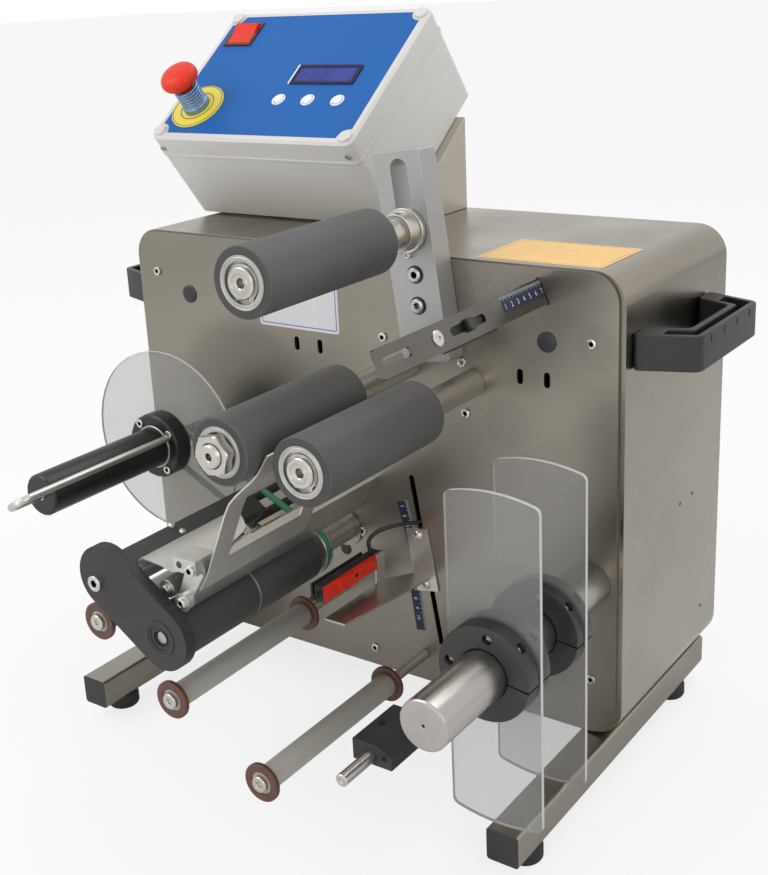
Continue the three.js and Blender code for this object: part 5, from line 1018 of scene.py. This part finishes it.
# --- unwinder
class UnwinderOperator(bpy.types.Operator):
    """Supply shaft, two clear roll plates and their slotted clamp hubs"""
    bl_idname = "labeller.unwinder"
    bl_label = "Unwinder"

    def execute(self, context):
        axis, y0, _, _ = node_axis("unwinder_shaft")
        bar = run(y0, (0, 5), (1.2, 5), (1.3, 0.4), (1.8, 0), (19.6, 0), (21, 1.3))
        turned("unwinder_shaft_turned", axis, [(bar + run(FACE, (21, -0.3), (10, -0.3), (10, 3), (0, 3)), 96, 0.3)],
               "alu_bar", "unwinder_shaft")
        for which in ("near", "far"):
            self.roll_plate(which, *axis)
            self.hub(which, *axis)
        return {"FINISHED"}

    def roll_plate(self, which, x, z):
        """A strip of a clear disc with round corners, bored for the hub's neck."""
        node = "roll_plate_" + which
        low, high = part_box(node)
        half, big, soft, bore = (high[0] - low[0]) / 2 / MM, (high[2] - low[2]) / 2 / MM, 6.0, 24.3
        across, up = half - soft, math.sqrt((big - soft) ** 2 - (half - soft) ** 2)
        meet = math.atan2(up, across)
        quarter = [(across + soft * math.cos(meet * i / 6), up + soft * math.sin(meet * i / 6)) for i in range(7)]
        quarter += [(big * math.cos(t), big * math.sin(t)) for t in (
            meet + (math.pi / 2 - meet) * i / 10 for i in range(1, 10))]
        top = quarter + [(0, big)] + [(-a, b) for a, b in quarter[::-1]]
        side = [(-half, up * k / 8) for k in range(7, -8, -1)]
        edge = top + side + [(a, -b) for a, b in top[::-1]] + [(half, up * k / 8) for k in range(-7, 8)]
        hole = [(bore * a / math.hypot(a, b), bore * b / math.hypot(a, b)) for a, b in edge]
        bm = bmesh.new()
        band(bm, edge, hole, -high[1] / MM, -low[1] / MM, Matrix.Translation((x * MM, 0, z * MM)) @ UPRIGHT)
        bm.normal_update()
        for face in bm.faces:
            face.material_index = int(abs(face.normal.y) < 0.5)
        piece(node + "_dressed", bm, ["acrylic", "acrylic_edge"], node, "reel_" + which)

    def hub(self, which, x, z):
        """Two split clamp rings on a neck, with bolts sunk in the front one and a pinch screw in each rim."""
        node, body = "clamp_hub_" + which, "reel_" + which
        _, y0, y1, _ = node_axis(node)
        _, p0, p1, _ = node_axis("roll_plate_" + which)
        slit, outer, bolt_circle = -7.5, 40.5, 30.75
        rings = mirrored(y0, y1, (21.6, 0.4), (22.0, 0), (39.6, 0), (40.3, 0.3), (outer, 1))
        neck = mirrored(p0, p1, (outer, -0.9), (40.1, -0.3), (24, -0.3))
        bm = bmesh.new()
        ring_segment(bm, rings[:5] + neck + rings[5:], x, z, slit + 1.3, slit + 358.7, 119)
        spots = []
        for bolt_x, bolt_z in (polar(x, z, bolt_circle, slit + turn) for turn in (90, 180, 270)):
            spots.append((Vector((bolt_x * MM, y0 * MM, bolt_z * MM)), Vector((0, -1, 0))))
        pinch = math.radians(slit + 50)
        out = Vector((math.cos(pinch), 0, math.sin(pinch)))
        spots += [(Vector((x * MM, y * MM, z * MM)) + out * outer * MM, out) for y in ((y0 + p0) / 2, (p1 + y1) / 2)]
        hole, deep, seat, head = 4.4, 7.0, 0.0066, 3.7             # holes and heads in mm, the heads' depth in m
        mesh = drilled(from_bmesh(node + "_turned", bm, 30), spots, hole, deep)
        placed(as_object(node + "_turned", mesh, "black"), node, body)
        bolts = [(where - way * seat, way, 0.3 * i, head) for i, (where, way) in enumerate(spots)]
        repeated("hub_screws_" + which, "hub_screw", bolts, "screw", body)


# --- rewinder
class RewinderOperator(bpy.types.Operator):
    """Clear disc, black mandrel with its hub and ribs, core rod, pulley and round belt"""
    bl_idname = "labeller.rewinder"
    bl_label = "Rewinder"

    def execute(self, context):
        body = "rewind_spool"
        refined("rewind_disc", ["acrylic", "acrylic_edge"], 0.0, body,
                choose=lambda c, n: abs(n.y) < 0.5)
        refined("rewind_mandrel", "mandrel", 0.3, body)
        refined("rewind_rod", "bright", 0.15, "rewind_rod", angle=50)
        refined("drive_belt", "belt", 0)
        axis, y0, _, _ = node_axis("rewind_mandrel")
        turned("mandrel_centre", axis, [(run(y0, (0, -0.3), (3.6, -0.3), (4.4, -0.3), (4.4, 0.2), (0, 0.2)), 32, 0.1)],
               "shaft", body=body)
        foot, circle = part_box("rewind_disc")[0][1] / MM - 18.3, 27       # front of the mandrel's foot, bolt circle
        repeated("rewind_hub_screws", "disc_screw", [
            front(*polar(axis[0], axis[1] - HOME.z, circle, a), 4.3, a, foot - FACE) for a in (36, 126, 216, 306)],
            "screw", body)
        ring = run(foot, (20.1, 0.2), (20.1, -1.2), (21.4, -1.2), (22, -0.6), (22, 0.2))
        turned("mandrel_foot_ring", axis, [(ring, 72, 0.1)], "core", body=body)
        return {"FINISHED"}


# --- pull roller and peeling head
class HeadOperator(bpy.types.Operator):
    """Pull roller, side plate, tie bar, beam, nip roller, web guide, peel plate and motor"""
    bl_idname = "labeller.head"
    bl_label = "Peeling head"

    def execute(self, context):
        self.pull_roller()
        refined("head_side_plate", "side_plate", 0.4)
        refined("tie_bar", "black", 0.35)
        refined("applicator_beam", "milled", 0.25)
        refined("web_guide_sheet", "satin", 0.12)
        refined("peel_plate", "satin", 0.12, angle=50)
        refined("drive_motor", "motor", 0.4)
        self.nip_roller()
        self.screws()
        return {"FINISHED"}

    def pull_roller(self):
        """A rubber sleeve with a narrow seam groove, steel ends, pulley and its journal."""
        axis, y0, y1, _ = node_axis("pull_roller")
        f, b, p = -252.4 + FACE, -74.0 + FACE, -60 + FACE          # sleeve's front and back, pulley's middle
        seam, sides = (f + b) / 2, looks().roller_sides
        sleeves = [(mirrored(a, c, (21, 0), (24.4, 0), (25, 0.6)), sides, 0.2, 0)
                   for a, c in ((f, seam - 0.8), (seam + 0.8, b))]
        ends = run(f, (0, 0.8), (6, 0.8), (6, 1.6), (17, 1.6), (17.6, -0.2), (21, -0.2))
        ends += run(b, (21, 0.2), (17, 0.2), (17, -1.2), (0, -1.2))
        pulley = run(b, (0, -1.4), (12.5, -1.4)) + run(
            p, (12.5, -5), (23.5, -5), (24, -4.4), (24, -3.3), (18.7, -1.9), (18.2, 0), (18.7, 1.9), (24, 3.3),
            (24, 4.4), (23.5, 5), (12.5, 5)) + run(FACE, (12.5, -1), (8, -1)) + run(y1, (8, 0), (0, 0))
        turned("pull_roller_turned", axis, sleeves + [
            (run(seam, (21, -0.9), (24.6, -0.9), (24.6, 0.9), (21, 0.9)), sides, 0.0, 1), (ends, 72, 0.2, 1),
            (run(y0, (0, 0), (5.2, 0), (6, 0.8)) + run(f, (6, 1.0), (0, 1.0)), 48, 0.1, 1), (pulley, 72, 0.1, 1)],
            ["dark_rubber", "core"], "pull_roller", "pull_roller")

    def nip_roller(self):
        """Knurled bright roller with stepped ends: raised small ribs in two crossing sets."""
        (x, z), y0, y1, r = node_axis("nip_roller")
        bm = bmesh.new()
        low, high = y0 + 6.0, y1 - 6.0
        lathe(bm, mirrored(y0, y1, (0, 0), (3.4, 0), (4, 0.6), (4, 4), (r - 0.5, 4), (r - 0.25, 4.4), (r - 0.25, 6),
                           (r - 0.45, 6.3)), x, z, 48, 0.1)
        ribs, along, rib_at, rib = 15, 46, r - 0.42, 0.32
        for side in (1, -1):
            for k in range(ribs):
                points = []
                for i in range(along + 1):
                    t = k * math.tau / ribs + side * i * 0.11
                    y = low + 0.6 + (high - low - 1.2) * i / along
                    points.append(Vector((x + rib_at * math.cos(t), y, z + rib_at * math.sin(t))) * MM)
                pipe(bm, points, rib * MM, 4)
        piece("nip_roller_knurled", bm, "knurl", "nip_roller", "nip_roller")

    def screws(self):
        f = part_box("head_side_plate")[0][1] / MM
        repeated("side_plate_screws", "cap_screw", [front(-89.5, 181, 7.4, 0.2, f - FACE)], "screw")
        rim = run(f, (13.6, 1.2), (13.6, -0.4), (14.4, -0.9), (15.6, -0.9), (16, -0.4), (16, 1.2))
        inner = run(f, (7.2, 1.4), (7.2, -0.2), (8.4, -0.2), (8.6, 0.8), (12.2, 0.8), (12.4, -0.1), (13.7, -0.1),
                    (13.7, 1.4))
        turned("side_plate_bearing", node_axis("pull_roller")[0], [(rim, 64, 0.1, 1), (inner, 64, 0.1, 0)],
               ["black", "side_plate"])
        out = (0.55, 0, 0.835)
        repeated("tie_bar_screws", "button_head", [
            (at(-81.3, -178.4, 202.7), out, 0.2, 3.6), (at(-72.4, -174.0, 196.8), out, 0.8, 3.6)],
            "screw")
        beam, x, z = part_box("applicator_beam")[0][1], -0.0015, 0.2265           # the beam's front, and its foot
        bm = bmesh.new()
        for y, radius, thick in ((0.0095, 7.5, 7.0), (0.0026, 8.4, 0.5)):
            slab(bm, disc(0, 0, radius), 0.0, thick, axis_matrix(Vector((x, beam + y, z)), (0, -1, 0)))
        piece("beam_foot", bm, "milled")
        repeated("beam_screws", "cap_screw", [((0.0141, beam, 0.2602), (0, -1, 0), 0.3, 5.4),
                                              ((x, beam + 0.0021, z), (0, -1, 0), 0.7, 5.2)], "screw")


# --- guides, rod, block and sensor
class GuidesOperator(bpy.types.Operator):
    """Three guide rollers, the block rod with its block, and the fork sensor"""
    bl_idname = "labeller.guides"
    bl_label = "Guides and sensor"

    def execute(self, context):
        for letter in "abc":
            self.guide(letter)
        self.rod("block_rod", "block_rod_turned", 5.5, (0, 0.6), (1.4, 0.6), (1.9, 0), (4.6, 0), (5.5, 0.9))
        refined("guide_block", "side_plate", 0.9, "guide_block", segments=3)
        low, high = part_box("guide_block")
        repeated("guide_block_screws", "block_screw", [
            ((low[0] + 0.0085, (low[1] + high[1]) / 2, high[2] - 0.0002), (0, 0, 1), 0.2, 3.0),
            ((high[0] - 0.007, low[1] + 0.0002, (low[2] + high[2]) / 2), (0, -1, 0), 0.4, 2.6)],
            "dark_screw", "guide_block")
        carriage = "sensor_carriage"
        refined("sensor_bracket", "bright", 0.15, carriage)
        refined("label_sensor", ["sensor", "red"], 0.3, carriage,
                choose=lambda c, n: c.x > 0.0371 and -0.0873 < c.y < -0.0288)
        repeated("sensor_grip_pin", "grip_pin", [((0.0459, -0.062, 0.1878), (1, 0, 0), 0, 2.2)], "dark_screw",
                 carriage)
        return {"FINISHED"}

    def guide(self, letter):
        """A tube with a ring at each end, on its rod."""
        node = "guide_roller_" + letter
        axis, y0, y1, _ = node_axis(node)
        tube = mirrored(y0, y1, (5.4, 1.4), (10.2, 1.4), (10.8, 5), (11, 5.4))
        rings = [(mirrored(a, b, (10.2, 0.5), (13.5, 0), (16.6, 0), (17.5, 0.9)), 72, 0.3, 1)
                 for a, b in ((y0, y0 + 5), (y1 - 5, y1))]
        turned(f"guide_{letter}_tube_and_rings", axis, [(tube, 64, 0.2, 0)] + rings, ["tube", "ring"],
               node, node)
        self.rod("guide_rod_" + letter, f"guide_{letter}_rod_turned", 5, (0, 2.2), (2.2, 2.2), (2.6, 0.3), (3.2, 0),
                 (6.7, 0), (7.5, 0.9), (7.5, 2.9), (5, 3))

    def rod(self, node, name, radius, *nose):
        """A rod with a turned nose, and a thin tail through the plate."""
        axis, y0, y1, _ = node_axis(node)
        tail = run(FACE, (radius, -0.3), (4, -0.3)) + run(y1, (4, 0), (0, 0))
        turned(name, axis, [(run(y0, *nose) + tail, 48, 0.15)], "shaft", node)


# --- stop bar and its rule
class StopBarOperator(bpy.types.Operator):
    """Slotted stop bar with a rule, its clamp and clamp screw"""
    bl_idname = "labeller.stop_bar"
    bl_label = "Stop bar"

    def execute(self, context):
        slot, body = "bright_steel", "stop_bar"
        refined("stop_bar", "bar", 0.2, body)
        refined("stop_bar_clamp", "black", 0.35)
        turn = Matrix(((0, 0, 1, 0), (1, 0, 0, 0), (0, 1, 0, 0), (0, 0, 0, 1)))
        face = Matrix.Translation(at(201.34, 0, 407.36)) @ Matrix.Rotation(math.radians(-26), 4, "Y") @ turn
        lay_rule("stop_bar_rule", face, (-68, 2.6), (17, 2.6), 14.0, 1.3, body, figure=6.4)
        out = face.to_3x3() @ Vector((0, 0, 1))
        for name, head, x, spin, size, mat in (("stop_bar_screw", "bar_screw", -0.1215, 0.3, 5.4, "dark_screw"),
                                               ("stop_bar_stud", "bar_stud", -0.165, 0.1, 6.4, "screw")):
            repeated(name, head, [(face @ Vector((x, 0.0, 0.0013)), out, spin, size)], mat, body)
        return {"FINISHED"}


def digits(bm, text, height, matrix, index=0):
    """Plain figures as a thin mesh, centred on the matrix's origin."""
    curve = bpy.data.curves.new("figure", "FONT")
    curve.body, curve.size, curve.resolution_u = text, height * MM, 2
    curve.align_x, curve.align_y = "CENTER", "CENTER"
    flat = baked(linked("figure", curve))
    if not len(flat.polygons):
        raise RuntimeError("no figure was made for " + text)
    verts = [bm.verts.new(matrix @ v.co) for v in flat.vertices]
    for poly in flat.polygons:
        bm.faces.new([verts[i] for i in poly.vertices]).material_index = index
    bpy.data.curves.remove(curve)
    bpy.data.meshes.remove(flat)


def lay_rule(name, face, start, end, wide, lift, body=ROOT, first=1, figure=5.4):
    """A rule tape: a thin strip, a tick for each millimetre and a plain number for each centimetre."""
    along = Vector(end) - Vector(start)
    long = along.length
    place = face @ Matrix.Translation(Vector((*start, 0)) * MM) @ Matrix.Rotation(math.atan2(along.y, along.x), 4, "Z")
    bm = bmesh.new()
    slab(bm, [(0, -wide / 2), (long, -wide / 2), (long, wide / 2), (0, wide / 2)], lift, lift + 0.04, place)
    top = place @ Matrix.Translation((0, 0, (lift + 0.06) * MM))
    for i in range(int(long / 10)):
        if i * 10 + 5 < long - 3:
            spot = Matrix.Translation(Vector((i * 10 + 5, -wide * 0.14, 0)) * MM)
            digits(bm, str(i + first), figure, top @ spot, 1)
    bmesh.ops.recalc_face_normals(bm, faces=bm.faces)
    placed(as_object(name, plain_mesh(name, bm), ["navy", "paper"]), body=body)
    up, want = top.to_3x3() @ Vector((0, 0, 1)), (top.to_3x3() @ Vector((1, 0, 0))).normalized()
    got = (axis_matrix((0, 0, 0), up).to_3x3() @ Vector((1, 0, 0))).normalized()
    spin = math.atan2(got.cross(want).dot(up.normalized()), got.dot(want))
    for group, last_figures, half in (("fine", (1, 2, 3, 4, 6, 7, 8, 9), wide * 0.09), ("coarse", (0, 5), wide * 0.16)):
        ticks = [(top @ (Vector((i, wide / 2 - half, 0)) * MM), up, spin, 1.0) for i in range(int(long) + 1)
                 if i % 10 in last_figures]
        tick = flat_mesh(name + "_" + group, [(-0.13, -half), (0.13, -half), (0.13, half), (-0.13, half)], 0, 0.02)
        repeated(f"{name}_{group}_marks", tick, ticks, "paper", body)


# --- fastenings, plugs, bare stickers and rules
class PlateOperator(bpy.types.Operator):
    """Screws, hole plugs, bare stickers and rule tapes on the plate, the sides and the top"""
    bl_idname = "labeller.plate"
    bl_label = "Plate fittings"

    def execute(self, context):
        spots = ((-246.9, 385.5), (247.1, 367), (247.5, 53.5), (8.6, 19.3), (35.3, 347.9), (120.3, 334.9),
                 (123, 287.4), (0.1, 145.3))
        repeated("plate_socket_screws", "plate_screw", [front(x, z, 4.6, 0.37 * i) for i, (x, z) in enumerate(spots)],
                 "screw")
        repeated("bracket_flange_screws", "flange_screw", [front(66.6, 155.5, 5.4, 0.2, -2.3),
                                                           front(73.7, 106.6, 5.4, 0.5, -2.3)],
                 "screw", "sensor_carriage")
        repeated("plate_hole_plugs", "hole_plug", [front(-204.4, 365.2, 9.2), front(205.3, 363.6, 9.2)], "plug")
        repeated("plate_small_plug", "hole_plug", [front(-22, 121.5, 6.4)], "plug")
        repeated("plate_small_bolt", "column_bolt", [front(72.2, 432.7, 3.1, 0.3)], "screw")
        face = Matrix.Translation(at(0, 0, 0)) @ UPRIGHT
        self.sticker("plate_sticker", face, (-112, -15, 344, 400, 3), (-109.5, -17.5, 346.5, 397.5, 2.2),
                     (-108.5, -18.5, 347.5, 396.5, 1.6), ["paper", "ink_blue"])
        lay_rule("plate_rule_upper", face, (48.6, 187), (64.2, 126.6), 12.2, 0.0)
        lay_rule("plate_rule_lower", face, (59.6, 102), (65.7, 54), 12.2, 0.0, first=7)
        low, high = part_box("housing_cover")
        self.sticker("top_sticker", Matrix.Translation((0, HOME.y * MM, high[2])), (130, 250, 12, 95, 3),
                     (133, 247, 15, 92, 2.5), (134.4, 245.6, 16.4, 90.6, 2), ["amber", "amber_edge"])
        holes = [((x, (y + HOME.y) * MM, (z + HOME.z) * MM), (side, 0, 0), 0.0, 2.6)
                 for side, x in ((1, high[0]), (-1, low[0])) for y, z in ((156, 183.5), (127, 183), (186, 52))]
        # Painted shade: flat near-black discs stand in for the shade inside the side holes.
        repeated("side_holes", flat_mesh("side_hole", disc(0, 0, 0.8, 24), -0.02, 0.012), holes, "hole")
        repeated("side_hole_rims", flat_mesh("side_rim", disc(0, 0, 1.0, 24), -0.02, 0.03, disc(0, 0, 0.78, 24)),
                 holes, "core")
        return {"FINISHED"}

    def sticker(self, name, face, edge, line_out, line_in, mats):
        """A bare sticker with a border line; the outlines are given as rounded() takes them."""
        bm = bmesh.new()
        slab(bm, rounded(*edge), 0.0, 0.14, face)
        band(bm, rounded(*line_out), rounded(*line_in), 0.13, 0.17, face, 1)
        piece(name, bm, mats)


# --- inside of the housing
class InsideOperator(bpy.types.Operator):
    """Power supply behind the plate"""
    bl_idname = "labeller.inside"
    bl_label = "Power supply"

    def execute(self, context):
        refined("power_supply", "supply", 0.4)
        low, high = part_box("power_supply")
        across, along, pitch = 9, 12, 0.008
        places = [((low[0] + 0.02 + i * pitch, low[1] + 0.012 + k * pitch, high[2]), (0, 0, 1), 0, 1.0)
                  for i in range(across) for k in range(along)]
        # Painted shade: flat near-black discs stand in for the shade inside the vent holes.
        repeated("supply_vents", flat_mesh("supply_vent", disc(0, 0, 2.6, 12), -0.02, 0.05), places, "hole")
        return {"FINISHED"}


# --- sidebar panel
STEPS = (StageOperator, HousingOperator, PlateOperator, ControlBoxOperator, RollersOperator, StopBarOperator,
         UnwinderOperator, RewinderOperator, HeadOperator, GuidesOperator, CableOperator, InsideOperator)


class LabellerPanel(bpy.types.Panel):
    """The build's steps and the values that a user may change"""
    bl_idname = "VIEW3D_PT_labeller"
    bl_label = "Labeling machine"
    bl_space_type = "VIEW_3D"
    bl_region_type = "UI"
    bl_category = "Labeller"

    def draw(self, context):
        for group in (context.scene.labeller_looks, context.scene.labeller_light):
            box = self.layout.box()
            for key in group.bl_rna.properties.keys():
                if key not in ("rna_type", "name"):
                    box.prop(group, key)
        column = self.layout.column(align=True)
        for step in STEPS:
            column.operator(step.bl_idname)


CLASSES = (LabellerLooks, LabellerLight, *STEPS, LabellerPanel)


def register():
    for each in CLASSES:
        bpy.utils.register_class(each)
    bpy.types.Scene.labeller_looks = PointerProperty(type=LabellerLooks)
    bpy.types.Scene.labeller_light = PointerProperty(type=LabellerLight)


def unregister():
    del bpy.types.Scene.labeller_light
    del bpy.types.Scene.labeller_looks
    for each in reversed(CLASSES):
        bpy.utils.unregister_class(each)


def main():
    register()
    make_finishes(looks())
    for step in STEPS:
        group, name = step.bl_idname.split(".")
        getattr(getattr(bpy.ops, group), name)()


if __name__ == "__main__":
    main()
